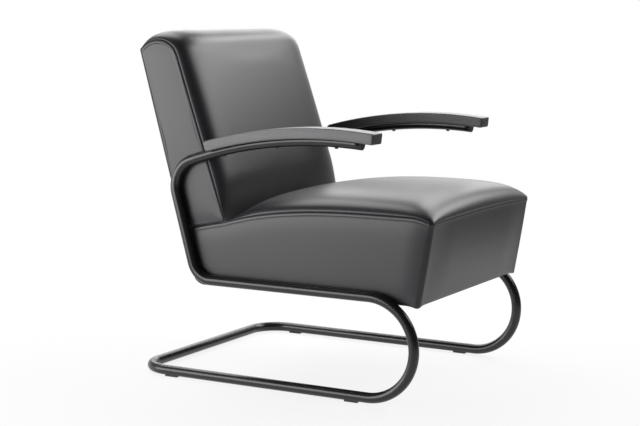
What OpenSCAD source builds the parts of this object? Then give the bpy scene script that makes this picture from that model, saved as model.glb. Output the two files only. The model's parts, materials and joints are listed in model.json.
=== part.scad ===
// Cantilever lounge chair.
// One steel tube is bent into the floor runners, the front loops, the seat rails,
// the uprights and the arms. An upholstered seat and an upholstered back are bolted
// between its two sides, and a bowed wooden pad is screwed on each arm.
// The chair faces -Y. In the side view, s is the distance forward of the rear floor
// tube's centre line, and z is the height above the floor.

/* [Steel tube] */
// Outside diameter of the frame tube
tube_d = 25; // [22:0.5:28]
// Wall thickness of the frame tube
tube_wall = 2; // [1.5:0.25:3]
// Room between the seat's side panels and the tube
seat_clearance = 4.5; // [3:0.5:8]
// How far the seat's front edge stands in front of the front loops' centre
seat_nose = 154; // [120:1:180]
// Radius of the front loop, on the centre line
loop_r = 119; // [110:1:130]
// From the rear floor tube to the corner of the tube under the back
low_corner_run = 171; // [150:1:190]
// Radius of the two rear floor corners, on the centre line
floor_bend_r = 77; // [60:1:100]
// Radius of the corner between seat rail and upright, on the centre line
low_bend_r = 54; // [45:1:65]
// Backward lean of the uprights, in degrees
upright_lean = 15.715; // [14:0.005:18]
// How far the upright's upper corner lies above the joint between seat and back
arm_over_joint = 159; // [140:1:180]
// Radius of the corner between upright and arm, on the centre line
arm_bend_r = 71; // [60:1:80]
// Rise of the arm where its bow starts, in degrees
arm_rise = 18.821; // [15:0.001:22]
// Radius of the arm's long bow, on the centre line
arm_bow_r = 1150; // [900:10:1500]
// Length of the arm's long bow, on the centre line
arm_bow_len = 473; // [400:1:500]

/* [Arm pads] */
// Width of a wooden arm pad
pad_w = 50; // [40:1:60]
// Thickness of a wooden arm pad
pad_t = 26; // [20:0.5:32]
// Height of the pad's lower face above the tube's centre line
pad_lift = 5.5; // [3:0.5:9]
// How far the pad reaches forward past the end of the tube
pad_overhang = 37; // [10:1:60]
// How far behind the pad's rear end the bow of the tube starts
pad_setback = 58; // [45:1:90]
// Rounding of the pad's long edges
pad_edge_r = 3; // [1:0.5:5]
// Rounding of the pad's rear end, seen from the side
pad_end_r = 9; // [4:0.5:11]
// Diameter of the pad screws
pad_screw_d = 5; // [4:0.5:6]

/* [Floor glides] */
// Height of the glides under the tube
glide_h = 2; // [1:0.5:4]
// Length of a glide along the tube
glide_len = 34; // [20:1:50]
// Width of a glide
glide_w = 15; // [10:1:20]

/* [Seat] */
// From the rear floor tube to the seat's front edge
seat_reach = 797; // [780:1:820]
// Half of the seat's width, at the seams
seat_half_w = 284; // [270:0.5:285]
// How far the side panels bulge beyond the seams
side_bulge = 5; // [2:0.5:6]
// Height of the side seam at its highest point
seat_seam_h = 437.5; // [420:0.5:450]
// How far the side seam's highest point lies behind the seat's front edge
seat_peak_set = 187; // [150:1:230]
// How far the side seam falls from there to the back
seat_rear_fall = 41.5; // [35:0.5:50]
// How far the side seam falls from there to the front
seat_front_fall = 10.5; // [4:0.5:20]
// How far the front seam rises from its corners to its middle
front_seam_rise = 6; // [0:0.5:12]
// Crown of the seat above its seams
seat_crown = 25; // [15:1:30]
// Slant of the front face, in degrees
front_slant = 9.6; // [4:0.1:12]
// Swell of the front face
front_swell = 5; // [0:0.5:8]
// Rounding of the seat's upright front corners
seat_corner_r = 12; // [6:1:20]
// How far the seat reaches below the tube of the rails
seat_show = 4; // [1:0.5:8]

/* [Back] */
// Height of the back's top seam at its rear edge
back_rear_h = 807; // [780:1:830]
// How far behind the tube's low corner the back's rear face would meet the rails
back_foot_set = 18.1; // [14:0.1:24]
// Depth of the back at the level of the rails
back_foot_depth = 138.9; // [125:0.1:150]
// Lean of the back's rear face, in degrees
back_rear_lean = 15.7; // [14.5:0.1:17]
// Lean of the back's front edge, in degrees
back_front_lean = 18.95; // [18:0.1:20]
// How far the front edge of the top lies above its rear edge
back_top_tilt = 7; // [0:0.5:12]
// Height of the side panel's round top above its ends
back_top_rise = 22; // [12:1:30]
// Crown of the back over its top seam
back_top_crown = 21; // [10:1:26]
// Swell of the back's front face
back_front_swell = 17; // [8:1:24]
// Swell of the back's rear face
back_rear_swell = 4; // [0:0.5:6]
// Fall of the joint between seat and back towards the rear, in degrees
joint_fall = 12; // [8:0.5:14]

/* [Inner frame] */
// Thickness of the wooden boards
board_t = 22; // [18:0.5:26]
// Height of the seat's side boards, as a share of the seat's height
seat_board_share = 0.417; // [0.35:0.001:0.45]
// Thickness of the leather covers
leather_t = 2; // [1.5:0.25:3]
// Thickness of the felt pads between boards and side panels
side_pad_t = 4.5; // [3:0.5:5]
// Wire diameter of the zigzag springs
spring_wire = 3.6; // [3:0.2:4.4]
// Number of zigzag springs
spring_count = 5; // [3:1:6]
// Width of a zigzag spring over its bends
spring_w = 72; // [60:1:84]
// Number of straight bars in a zigzag spring
spring_bars = 13; // [9:2:17]
// Number of webbing bands in the back
band_count = 5; // [3:1:6]
// Width of a webbing band
band_w = 55; // [40:1:65]
// Thread diameter of the frame bolts
bolt_d = 8; // [6:1:10]

/* [Hidden] */
$fn = 48;

// Clearances and overruns
fit_gap = 0.1;
soft_gap = 0.3;
overrun = 5;
// How much a bend is made too long before it is trimmed
bend_spare = 4;
// Faces round a full turn of a tight bend and of a long bow
bend_facets = 96;
bow_facets = 384;

// Derived sizes of the tube
floor_run = seat_reach - seat_nose;
rail_run = floor_run - low_corner_run;
seat_peak_run = seat_reach - seat_peak_set;
tube_r = tube_d / 2;
tube_bore = tube_d - 2 * tube_wall;
tube_x = seat_half_w + side_bulge + seat_clearance + tube_r;
frame_w = 2 * tube_x;
floor_z = glide_h + tube_r;
rail_z = floor_z + 2 * loop_r;
low_turn = 90 - upright_lean;
high_turn = 90 + upright_lean - arm_rise;
low_tangent = low_bend_r * tan(low_turn / 2);
high_tangent = arm_bend_r * tan(high_turn / 2);
bow_turn = arm_bow_len / arm_bow_r * 180 / PI;
upright_heading = 90 + upright_lean;
// The chair's box is centred front to back on the frame's origin
mid_s = (seat_reach - tube_r) / 2;

// Levels and lines of the seat and the back in the side view
low_corner = [low_corner_run, rail_z];
seat_low = rail_z - tube_r - seat_show;
seat_front_h = seat_seam_h - seat_front_fall;
joint_h = seat_seam_h - seat_rear_fall;
back_foot = low_corner[0] - back_foot_set;
function back_rear_s(z) = back_foot - (z - rail_z) * tan(back_rear_lean);
function back_front_s(z) = back_foot + back_foot_depth - (z - rail_z) * tan(back_front_lean);
joint_s = back_front_s(joint_h);
function joint_z(s) = joint_h - (joint_s - s) * tan(joint_fall);
// The rear end of the joint is where its line meets the back's rear face
joint_rear_h = (joint_h - (joint_s - back_rear_s(0)) * tan(joint_fall))
    / (1 + tan(back_rear_lean) * tan(joint_fall));
joint_rear = [back_rear_s(joint_rear_h), joint_rear_h];
// The uprights rise with the joint
joint_run = (joint_rear_h - rail_z) / cos(upright_lean);
upright_len = joint_run + arm_over_joint;

// The bend schedule of one side, from the rear floor corner to the end of the arm.
// Each row holds the length of a straight stretch, or the radius and turn of a bend.
bends = [
    [floor_run - floor_bend_r, 0, 0],
    [0, loop_r, 180],
    [rail_run - low_tangent, 0, 0],
    [0, low_bend_r, -low_turn],
    [upright_len - low_tangent - high_tangent, 0, 0],
    [0, arm_bend_r, -high_turn],
    [0, arm_bow_r, -bow_turn]
];

// A point, a heading in degrees and a length give the next point
function step(p, heading, length) = p + length * [cos(heading), sin(heading)];
function turn_side(turn) = turn > 0 ? 90 : -90;
function bend_centre(p, heading, bend) = step(p, heading + turn_side(bend[2]), bend[1]);
function bend_end(p, heading, bend) =
    step(bend_centre(p, heading, bend), heading + bend[2] - turn_side(bend[2]), bend[1]);
function next_point(p, heading, bend) =
    bend[1] == 0 ? step(p, heading, bend[0]) : bend_end(p, heading, bend);
function walk(p, heading, i = 0) =
    i == len(bends) ? [[p, heading]] :
    concat([[p, heading]], walk(next_point(p, heading, bends[i]), heading + bends[i][2], i + 1));

// Where each stretch of the tube starts, and with which heading
route = walk([floor_bend_r, floor_z], 0);
bow_centre = bend_centre(route[6][0], route[6][1], bends[6]);
bow_start = route[6][1] + 90;
bow_finish = bow_start - bow_turn;

// Seat outline in the side view
function seat_seam_z(s) =
    s < joint_s ? joint_z(s) :
    s < seat_peak_run
        ? seat_seam_h - seat_rear_fall * pow((seat_peak_run - s) / (seat_peak_run - joint_s), 2.6)
        : seat_seam_h - seat_front_fall * pow((s - seat_peak_run) / (seat_reach - seat_peak_run), 2);
function seat_front_s(z) = seat_reach - (seat_front_h - z) * tan(front_slant);

// Side outlines of the soft bodies. Each row holds a point, its crown, its corner
// rounding and its lift along the front seam.
shelf_shares = [0, 0.28];
seat_run_shares = [0, 0.03, 0.09, 0.18, 0.3, 0.44, 0.58, 0.7, 0.8, 0.88, 0.93, 0.965, 0.985];
seat_front_shares = [0, 0.05, 0.15, 0.35, 0.6, 0.85, 1];
seat_low_shares = [0.14, 0.35, 0.6, 0.8, 0.93];
seat_rear_shares = [0, 0.25, 0.6];
seat_shoulder = 62;
seat_tail = 150;
function shoulder(d, reach) = d >= reach ? 1 : sqrt(1 - pow(1 - d / reach, 3));
function tail(d, reach) = d >= reach ? 1 : sin(90 * d / reach);
function seat_top_row(s) = [
    [s, seat_seam_z(s)],
    seat_crown * shoulder(seat_reach - s, seat_shoulder) * tail(s - joint_s, seat_tail),
    seat_corner_r * max(0, 1 - (seat_reach - s) / seat_shoulder),
    front_seam_rise * max(0, 1 - (seat_reach - s) / seat_tail)
];
function seat_front_row(share) = let (z = seat_front_h + (seat_low - seat_front_h) * share) [
    [seat_front_s(z), z],
    front_swell * sin(180 * share),
    seat_corner_r,
    front_seam_rise * pow(1 - share, 2)
];
seat_heel_r = 24;
seat_heel = [back_rear_s(seat_low) + seat_heel_r, seat_low];
seat_toe = [seat_front_s(seat_low), seat_low];
seat_outline = concat(
    [for (a = shelf_shares) let (s = joint_rear[0] + (joint_s - joint_rear[0]) * a)
        [[s, joint_z(s)], 0, 0, 0]],
    [for (a = seat_run_shares) seat_top_row(joint_s + (seat_reach - joint_s) * a)],
    [for (a = seat_front_shares) seat_front_row(a)],
    [for (a = seat_low_shares) [seat_toe + (seat_heel - seat_toe) * a, 0, 0, 0]],
    [[seat_heel, 0, 0, 0]],
    [for (a = seat_rear_shares)
        let (z = seat_low + seat_heel_r / 2 + (joint_rear_h - seat_low - seat_heel_r / 2) * a)
        [[back_rear_s(z), z], 0, 0, 0]]
);
seat_top_end = len(shelf_shares) + len(seat_run_shares);
seat_front_end = seat_top_end + len(seat_front_shares) - 1;
seat_heel_i = seat_front_end + len(seat_low_shares) + 1;
seat_hub = [(joint_s + seat_reach) / 2 - seat_tail / 2, (seat_low + joint_h) / 2];

// The back's outline goes up its front edge, over its round top and down its rear face
back_front_shares = [0, 0.03, 0.09, 0.18, 0.32, 0.48, 0.64, 0.79, 0.91];
back_arc_shares = [0, 0.12, 0.25, 0.4, 0.55, 0.7, 0.84, 0.94];
back_rear_shares = [0, 0.06, 0.2, 0.45, 0.7, 0.92];
back_low_shares = [0, 0.35, 0.7];
back_tail = 90;
back_front_h = back_rear_h + back_top_tilt;
back_front_top = [back_front_s(back_front_h), back_front_h];
back_rear_top = [back_rear_s(back_rear_h), back_rear_h];
back_chord = norm(back_front_top - back_rear_top);
back_top_r = (pow(back_chord / 2, 2) + pow(back_top_rise, 2)) / (2 * back_top_rise);
back_chord_angle = atan2(back_front_top[1] - back_rear_top[1], back_front_top[0] - back_rear_top[0]);
back_half_arc = asin(back_chord / 2 / back_top_r);
back_arc_hub = (back_front_top + back_rear_top) / 2
    + (back_top_r - back_top_rise) * [sin(back_chord_angle), -cos(back_chord_angle)];
function back_low_point(s) = [s, joint_z(s) + soft_gap / cos(joint_fall)];
back_low_front = back_low_point(back_front_s(joint_h + soft_gap));
back_low_rear = back_low_point(back_rear_s(joint_rear_h + soft_gap));
back_outline = concat(
    [for (a = back_front_shares) let (p = back_low_front + (back_front_top - back_low_front) * a)
        [p, back_front_swell * tail(p[1] - back_low_front[1], back_tail), 0, 0]],
    [for (a = back_arc_shares)
        [step(back_arc_hub, 90 + back_chord_angle + back_half_arc * (2 * a - 1), back_top_r),
            back_front_swell + (back_top_crown - back_front_swell) * sin(180 * min(a, 0.5))
            - (back_top_crown - back_rear_swell) * pow(max(0, 2 * a - 1), 2), 0, 0]],
    [for (a = back_rear_shares)
        [back_rear_top + (back_low_rear - back_rear_top) * a, back_rear_swell * (1 - a), 0, 0]],
    [for (a = back_low_shares) [back_low_rear + (back_low_front - back_low_rear) * a, 0, 0, 0]]
);
back_top_i = len(back_front_shares) + len(back_arc_shares);
back_rear_i = back_top_i + len(back_rear_shares);
back_hub = (back_low_front + back_front_top + back_rear_top + back_low_rear) / 4;

// Places of the frame bolts, as points in the side view
front_bolt_set = 167.5;
rear_bolt_set = 107;
joint_bolt_runs = [28, 78];
seat_bolts = [
    [seat_front_s(rail_z) - front_bolt_set, rail_z],
    [back_rear_s(rail_z) + rear_bolt_set, rail_z]
];
back_bolts = [for (run = joint_bolt_runs) step(low_corner, upright_heading, joint_run + run)];
frame_bolt_places = concat(
    [for (p = seat_bolts) [p, 180]],
    [for (p = back_bolts) [p, upright_heading]]
);

// Levels across the chair, from the middle to one side
board_x = seat_half_w - leather_t - soft_gap;
board_in_x = board_x - board_t;
pad_x = board_x + soft_gap;
side_x = seat_half_w + side_bulge;
tube_in_x = tube_x - tube_r;
bush_wall = 2;
bush_d = bolt_d + 2 * bush_wall;
bush_len = 14;
bolt_play = 1;
bolt_hole_d = bolt_d + bolt_play;
washer_t = 1.6;
washer_rim = 5;
washer_d = bolt_d + 2 * washer_rim;
bolt_head_h = 4.5;
bolt_head_d = 14;
bolt_key = 5;
bolt_key_depth = 2.6;
spacer_d = 22;

// Turns a side view, drawn as s and z, upright at a place across the chair.
// The drawing's own third axis then points towards -X.
module side_plane(x = 0) {
    translate([x, mid_s, 0])
        rotate([90, 0, -90])
            children();
}

// Extrudes a side view across the chair, between two places
module across(x0, x1) {
    side_plane(x1)
        linear_extrude(height = x1 - x0)
            children();
}

// Repeats a left piece on the right
module both_sides() {
    children();
    mirror([1, 0, 0])
        children();
}

// The tube of one side from stretch i on. It starts at its own origin and runs along
// its own X axis. A bend is made a little too long and then trimmed square to the
// stretch that follows, so that the two meet exactly.
module tube_from(i) {
    length = bends[i][0];
    radius = bends[i][1];
    turn = bends[i][2];
    side = turn > 0 ? radius : -radius;
    if (radius == 0)
        rotate([90, 0, 90])
            linear_extrude(height = length)
                ring();
    else
        difference() {
            translate([0, side, 0])
                mirror([0, turn > 0 ? 0 : 1, 0])
                    rotate([0, 0, -90])
                        bend_ring(radius, abs(turn) + bend_spare / radius * 180 / PI);
            translate([0, side, 0])
                rotate([0, 0, turn])
                    translate([0, -side - tube_d, -tube_d])
                        cube([tube_d, 2 * tube_d, 2 * tube_d]);
        }
    if (i + 1 < len(bends))
        translate([0, side, 0])
            rotate([0, 0, turn])
                translate([length, -side, 0])
                    tube_from(i + 1);
}

module ring() {
    difference() {
        circle(d = tube_d);
        circle(d = tube_bore);
    }
}

// A bend of the tube round the Z axis
module bend_ring(radius, angle) {
    rotate_extrude(angle = angle, $fn = radius == arm_bow_r ? bow_facets : bend_facets)
        translate([radius, 0])
            ring();
}

// The rear floor tube with its two corners
module floor_cross() {
    straight = frame_w - 2 * floor_bend_r;
    translate([-straight / 2, mid_s, floor_z])
        rotate([90, 0, 90])
            linear_extrude(height = straight)
                ring();
    both_sides()
        translate([straight / 2, mid_s - floor_bend_r, floor_z])
            bend_ring(floor_bend_r, 90);
}

// Puts a piece at a place on the arm's bow, with its own X axis pointing outwards
// along the bow's radius
module on_bow(angle) {
    translate([bow_centre[0], bow_centre[1], 0])
        rotate([0, 0, angle])
            translate([arm_bow_r, 0, 0])
                children();
}

pad_screw_shares = [0.2, 0.52, 0.86];
pad_start = bow_start - pad_setback / arm_bow_r * 180 / PI;
pad_finish = bow_finish - pad_overhang / arm_bow_r * 180 / PI;
pad_screw_angles = [for (a = pad_screw_shares) bow_start + (bow_finish - bow_start) * a];
pad_screw_play = 0.4;
pad_screw_hole = pad_screw_d + pad_screw_play;
pad_screw_head_d = 2 * pad_screw_d;
pad_screw_head_h = 3;
pad_screw_bite = 12;

glide_rear_set = 20;
glide_front_set = 40;
glide_runs = [floor_bend_r + glide_rear_set, floor_run - glide_front_set];
glide_peg_d = 6;
glide_peg_len = 6;

module frame_tube() {
    color("#1b1c1f")
        difference() {
            union() {
                both_sides()
                    side_plane(tube_x)
                        translate([floor_bend_r, floor_z, 0])
                            tube_from(0);
                floor_cross();
            }
            both_sides()
                side_plane(tube_x) {
                    for (angle = pad_screw_angles)
                        on_bow(angle)
                            rotate([0, 90, 0])
                                cylinder(d = pad_screw_hole, h = tube_d + overrun, center = true);
                    for (run = glide_runs)
                        translate([run, floor_z - tube_r - overrun / 2, 0])
                            rotate([-90, 0, 0])
                                cylinder(d = glide_peg_d + 2 * fit_gap, h = tube_wall + overrun);
                }
            both_sides()
                for (place = frame_bolt_places)
                    side_plane(tube_in_x - overrun / 2)
                        translate([place[0][0], place[0][1], -tube_r])
                            cylinder(d = bush_d + 2 * fit_gap, h = tube_r + overrun / 2);
        }
}

plug_cap_t = 2.5;
plug_spigot_len = 14;
module tube_end_plugs() {
    end_point = route[7][0];
    color("#0c0c0d")
        both_sides()
            side_plane(tube_x)
                translate([end_point[0], end_point[1], 0])
                    rotate([0, 90, bow_finish - 90]) {
                        translate([0, 0, fit_gap])
                            cylinder(d = tube_d, h = plug_cap_t / 2);
                        translate([0, 0, fit_gap + plug_cap_t / 2])
                            cylinder(d1 = tube_d, d2 = tube_d - plug_cap_t, h = plug_cap_t / 2);
                        translate([0, 0, -plug_spigot_len])
                            cylinder(d = tube_bore - 2 * fit_gap, h = plug_spigot_len + fit_gap);
                    }
}

glide_wrap = 7;
module floor_glides() {
    color("#131313")
        both_sides()
            for (run = glide_runs)
                side_plane(tube_x)
                    translate([run, 0, 0]) {
                        difference() {
                            translate([-glide_len / 2, 0, -glide_w / 2])
                                cube([glide_len, glide_h + glide_wrap, glide_w]);
                            translate([-glide_len / 2 - overrun, floor_z, 0])
                                rotate([0, 90, 0])
                                    cylinder(d = tube_d + 2 * fit_gap, h = glide_len + 2 * overrun);
                        }
                        translate([0, glide_h / 2, 0])
                            rotate([-90, 0, 0])
                                cylinder(d = glide_peg_d, h = glide_h / 2 + glide_peg_len);
                    }
}

// Puts a piece on each frame bolt's axis, with its own Z axis pointing outwards
// from a level across the chair
module on_bolts(x) {
    for (place = frame_bolt_places)
        side_plane(x)
            translate([place[0][0], place[0][1], 0])
                mirror([0, 0, 1])
                    children();
}

module threaded_bushes() {
    color("#8f9296")
        both_sides()
            on_bolts(tube_in_x)
                difference() {
                    cylinder(d = bush_d, h = bush_len);
                    translate([0, 0, -overrun])
                        cylinder(d = bolt_d + 2 * fit_gap, h = bush_len + 2 * overrun);
                }
}

module saddle_spacers() {
    color("#101011")
        both_sides()
            difference() {
                on_bolts(side_x + soft_gap)
                    cylinder(d = spacer_d, h = tube_in_x - side_x - soft_gap + tube_wall);
                on_bolts(side_x - overrun)
                    cylinder(d = bush_d + bolt_play, h = tube_r + 2 * overrun);
                for (place = frame_bolt_places)
                    side_plane(tube_x)
                        translate([place[0][0], place[0][1], 0])
                            rotate([0, 90, place[1]])
                                cylinder(d = tube_d + 2 * fit_gap, h = 2 * spacer_d, center = true);
            }
}

module frame_bolts() {
    color("#55585c")
        both_sides()
            on_bolts(board_in_x - washer_t - bolt_head_h)
                difference() {
                    union() {
                        cylinder(d = bolt_head_d, h = bolt_head_h);
                        cylinder(d = bolt_d, h = bolt_head_h + washer_t + tube_in_x
                            - board_in_x + bush_len - overrun);
                    }
                    translate([0, 0, -overrun])
                        cylinder(d = bolt_key, h = bolt_key_depth + overrun, $fn = 6);
                }
}

module bolt_washers() {
    color("#9b9ea3")
        both_sides()
            on_bolts(board_in_x - washer_t)
                difference() {
                    cylinder(d = washer_d, h = washer_t);
                    translate([0, 0, -overrun])
                        cylinder(d = bolt_d + 4 * fit_gap, h = washer_t + 2 * overrun);
                }
}

// Room for the bolt heads and washers in a board between the side boards
module bolt_pockets() {
    pocket = washer_t + bolt_head_h + fit_gap;
    both_sides()
        on_bolts(board_in_x - pocket)
            cylinder(d = washer_d + 2 * fit_gap, h = pocket + overrun);
}

// A rectangle with round corners, made of squares and circles
module round_box(w, h, r) {
    square([w - 2 * r, h], center = true);
    square([w, h - 2 * r], center = true);
    for (x = [-1, 1], y = [-1, 1])
        translate([x * (w / 2 - r), y * (h / 2 - r)])
            circle(r = r);
}

// The pad is a bowed bar with a groove beneath that seats on the tube. Its rear end is
// cut round above and below.
pad_end_ease = 0.3;
module arm_pad() {
    pad_low_r = arm_bow_r + pad_lift;
    end_turn = pad_end_r / pad_low_r * 180 / PI;
    difference() {
        translate([bow_centre[0], bow_centre[1], 0])
            rotate([0, 0, pad_finish])
                rotate_extrude(angle = pad_start - pad_finish, $fn = bow_facets)
                    translate([pad_low_r + pad_t / 2, 0])
                        round_box(pad_t, pad_w, pad_edge_r);
        translate([bow_centre[0], bow_centre[1], 0])
            rotate([0, 0, pad_start])
                for (cut = [[pad_low_r + pad_t, 0], [pad_low_r, 1]])
                    translate([cut[0], 0, 0])
                        mirror([cut[1], 0, 0])
                            pad_end_cut(pad_end_r - pad_end_ease);
        translate([bow_centre[0], bow_centre[1], 0])
            rotate([0, 0, pad_finish - end_turn])
                rotate_extrude(angle = pad_start - pad_finish + 2 * end_turn, $fn = bow_facets)
                    translate([arm_bow_r, 0])
                        circle(d = tube_d + 2 * fit_gap);
        for (angle = pad_screw_angles)
            on_bow(angle)
                rotate([0, 90, 0])
                    cylinder(d = pad_screw_d + 2 * fit_gap, h = tube_r + pad_screw_bite + fit_gap);
    }
}

// What a round corner leaves of a square one
module pad_end_cut(depth) {
    translate([-depth, -depth, 0])
        linear_extrude(height = pad_w + overrun, center = true)
            difference() {
                square(pad_end_r + overrun);
                circle(r = pad_end_r);
            }
}

module arm_pad_left() {
    color("#26272a")
        side_plane(-tube_x)
            arm_pad();
}

module arm_pad_right() {
    color("#26272a")
        side_plane(tube_x)
            arm_pad();
}

module arm_pad_screws() {
    color("#6f7276")
        both_sides()
            side_plane(tube_x)
                for (angle = pad_screw_angles)
                    on_bow(angle)
                        rotate([0, 90, 0]) {
                            translate([0, 0, -tube_r - pad_screw_head_h])
                                cylinder(d1 = pad_screw_head_d - pad_screw_head_h,
                                    d2 = pad_screw_head_d, h = pad_screw_head_h);
                            translate([0, 0, -tube_r - pad_screw_head_h / 2])
                                cylinder(d = pad_screw_d,
                                    h = 2 * tube_r + pad_screw_bite - pad_screw_head_h);
                        }
}

// Levels in the seat's side view
board_low = seat_low + leather_t;
seat_board_h = (seat_seam_h - seat_low) * seat_board_share;
board_top = board_low + seat_board_h;
front_foam_t = 14;
rear_gap = leather_t + soft_gap;
spring_z = board_top + spring_wire;
cloth_t = 1.5;
foam_low = spring_z + spring_wire + cloth_t + soft_gap;

ear_w = 26;
// The joint's direction, measured from the square across the back's rear face
joint_lean = joint_fall - back_rear_lean;
// Under the shelf that the back stands on, at a distance in front of the rear face
function shelf_point(v) =
    back_point(v, v * tan(joint_lean) - (leather_t + 2 * soft_gap) / cos(joint_lean));

// A board across or along the seat, cut by the slant of the front and of the rear
function seat_slice(z, front_inset, rear_inset) = [
    back_rear_s(z) + rear_inset / cos(back_rear_lean),
    seat_front_s(z) - front_inset / cos(front_slant)
];

module bolt_bores(places, d = bolt_hole_d) {
    for (p = places)
        translate([p[0], p[1]])
            circle(d = d);
}

// A side board has an ear at its rear end, which carries the back
module seat_rail_side() {
    low = seat_slice(board_low, leather_t + soft_gap + front_foam_t, rear_gap);
    high = seat_slice(board_top, leather_t + soft_gap + front_foam_t, rear_gap + ear_w);
    chamfer = seat_heel_r;
    difference() {
        polygon([
            [low[0] + chamfer, board_low],
            [low[1], board_low],
            [high[1], board_top],
            [high[0], board_top],
            shelf_point(rear_gap + ear_w),
            shelf_point(rear_gap),
            [low[0] - chamfer * tan(back_rear_lean), board_low + chamfer]
        ]);
        bolt_bores(seat_bolts);
    }
}

module seat_rail_left() {
    color("#c9a877")
        across(-board_x, -board_in_x)
            seat_rail_side();
}

module seat_rail_right() {
    color("#c9a877")
        across(board_in_x, board_x)
            seat_rail_side();
}

// A cross board that stands parallel to the front or to the rear face
module seat_front_rail() {
    inset = leather_t + soft_gap + front_foam_t;
    color("#d2b182")
        across(-board_in_x, board_in_x)
            polygon([
                [seat_slice(board_low, inset + board_t, 0)[1], board_low],
                [seat_slice(board_low, inset, 0)[1], board_low],
                [seat_slice(board_top, inset, 0)[1], board_top],
                [seat_slice(board_top, inset + board_t, 0)[1], board_top]
            ]);
}

rear_rail_low = board_low + seat_heel_r;
module seat_rear_rail() {
    color("#d2b182")
        difference() {
            across(-board_in_x, board_in_x)
                polygon([
                    [seat_slice(rear_rail_low, 0, rear_gap)[0], rear_rail_low],
                    [seat_slice(rear_rail_low, 0, rear_gap + board_t)[0], rear_rail_low],
                    shelf_point(rear_gap + board_t),
                    shelf_point(rear_gap)
                ]);
            joining_bores();
        }
}

// A batten on the rear board holds the rear ends of the springs
ledge_h = 30;
ledge_w = 26;
module seat_rear_ledge() {
    inset = rear_gap + board_t;
    color("#d2b182")
        across(-board_in_x, board_in_x)
            polygon([
                [seat_slice(board_top - ledge_h, 0, inset)[0], board_top - ledge_h],
                [seat_slice(board_top - ledge_h, 0, inset + ledge_w)[0], board_top - ledge_h],
                [seat_slice(board_top, 0, inset + ledge_w)[0], board_top],
                [seat_slice(board_top, 0, inset)[0], board_top]
            ]);
}

block_leg = 45;
block_gap = 4;
module seat_corner_blocks() {
    block_low = board_low + soft_gap;
    block_h = seat_board_h - ledge_h - block_gap;
    front_s = seat_slice(block_low, leather_t + soft_gap + front_foam_t + board_t, 0)[1];
    rear_s = seat_slice(block_low, 0, rear_gap + board_t)[0];
    color("#b8935f")
        both_sides() {
            translate([board_in_x, mid_s - front_s, block_low])
                linear_extrude(height = block_h)
                    polygon([[0, 0], [-block_leg, 0], [0, block_leg]]);
            translate([board_in_x, mid_s - rear_s, block_low])
                linear_extrude(height = block_h)
                    polygon([[0, 0], [0, -block_leg], [-block_leg, 0]]);
        }
}

// Zigzag springs run from the rear board to the front board. Their bars lie across,
// and half rings join each bar to the next.
spring_rear = seat_slice(board_top, 0, rear_gap + board_t + ledge_w / 2)[0];
spring_front = seat_slice(board_top, leather_t + soft_gap + front_foam_t + board_t / 2, 0)[1];
spring_step = 0.1;
spring_pitch = spring_step * floor((spring_front - spring_rear) / (spring_bars - 1) / spring_step);
spring_bar = spring_step * round((spring_w - spring_pitch - spring_wire) / spring_step);
spring_end = spring_rear + (spring_bars - 1) * spring_pitch;
spring_spread_share = 0.87;
spring_spread = (2 * board_in_x - spring_w) * spring_spread_share;
spring_places = [for (i = [0:spring_count - 1]) spring_spread * (i / (spring_count - 1) - 0.5)];

module zigzag_spring() {
    union() {
        for (i = [0:spring_bars - 1])
            translate([-spring_bar / 2, -i * spring_pitch, 0])
                rotate([0, 90, 0])
                    cylinder(d = spring_wire, h = spring_bar);
        for (i = [0:spring_bars - 2])
            translate([(i % 2 == 0 ? 1 : -1) * spring_bar / 2, -(i + 0.5) * spring_pitch, 0])
                rotate([0, 0, i % 2 == 0 ? -90 : 90])
                    rotate_extrude(angle = 180)
                        translate([spring_pitch / 2, 0])
                            circle(d = spring_wire);
    }
}

module seat_springs() {
    color("#7c8086")
        for (x = spring_places)
            translate([x, mid_s - spring_rear, spring_z])
                zigzag_spring();
}

// A clip is a folded strip that holds the spring's end bar on the board
clip_len = 16;
clip_w = 18;
clip_wall = 1.6;
module spring_clips() {
    color("#a5a8ac")
        for (x = spring_places, s = [spring_rear, spring_end])
            translate([x, mid_s - s, board_top])
                difference() {
                    translate([-clip_w / 2, -clip_len / 2, fit_gap])
                        cube([clip_w, clip_len, 1.5 * spring_wire + clip_wall - 2 * fit_gap]);
                    translate([-clip_w, 0, spring_z - board_top])
                        rotate([0, 90, 0])
                            cylinder(d = spring_wire + 2 * fit_gap, h = 2 * clip_w);
                }
}

module spring_cloth() {
    cloth_z = foam_low - soft_gap / 2 - cloth_t;
    rear_s = seat_slice(cloth_z, 0, rear_gap + ear_w + soft_gap)[0];
    front_s = seat_slice(cloth_z, leather_t + 2 * soft_gap + front_foam_t, 0)[1];
    color("#e4e1d8")
        across(-board_x, board_x)
            translate([rear_s, cloth_z])
                square([front_s - rear_s, cloth_t]);
}

// Functions of the soft bodies. A body is its side outline, carried across the chair:
// dome() swells it in the middle, and corner() draws its front corners in.
function dome(u) = 0.55 * sqrt(max(0, 1 - pow(u, 6))) + 0.45 * (1 - u * u);
function corner(u, w) = let (q = (1 - abs(u)) * w)
    q >= seat_corner_r ? 0 : 1 - sqrt(1 - pow(1 - q / seat_corner_r, 2));
function unit(v) = v / norm(v);
function outward(v) = [-v[1], v[0]];
// Outlines run clockwise for the seat and anticlockwise for the back
function edge_normal(outline, i, way) = let (n = len(outline))
    way * unit(outward(outline[(i + 1) % n][0] - outline[(i + n) % n][0]));
function mitre(outline, i, way) = let (
        n = len(outline),
        a = edge_normal(outline, (i + n - 1) % n, way),
        b = edge_normal(outline, i % n, way)
    ) (a + b) / (1 + a * b);
function body_point(outline, i, u, inset, half_w, way) = let (
        row = outline[i % len(outline)],
        lean = mitre(outline, i, way),
        q = row[0] - inset * lean + unit(lean) * row[1] * dome(u)
            + [-row[2] * corner(u, half_w), row[3] * (1 - u * u)]
    ) [u * (half_w - inset), mid_s - q[0], q[1]];

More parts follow.
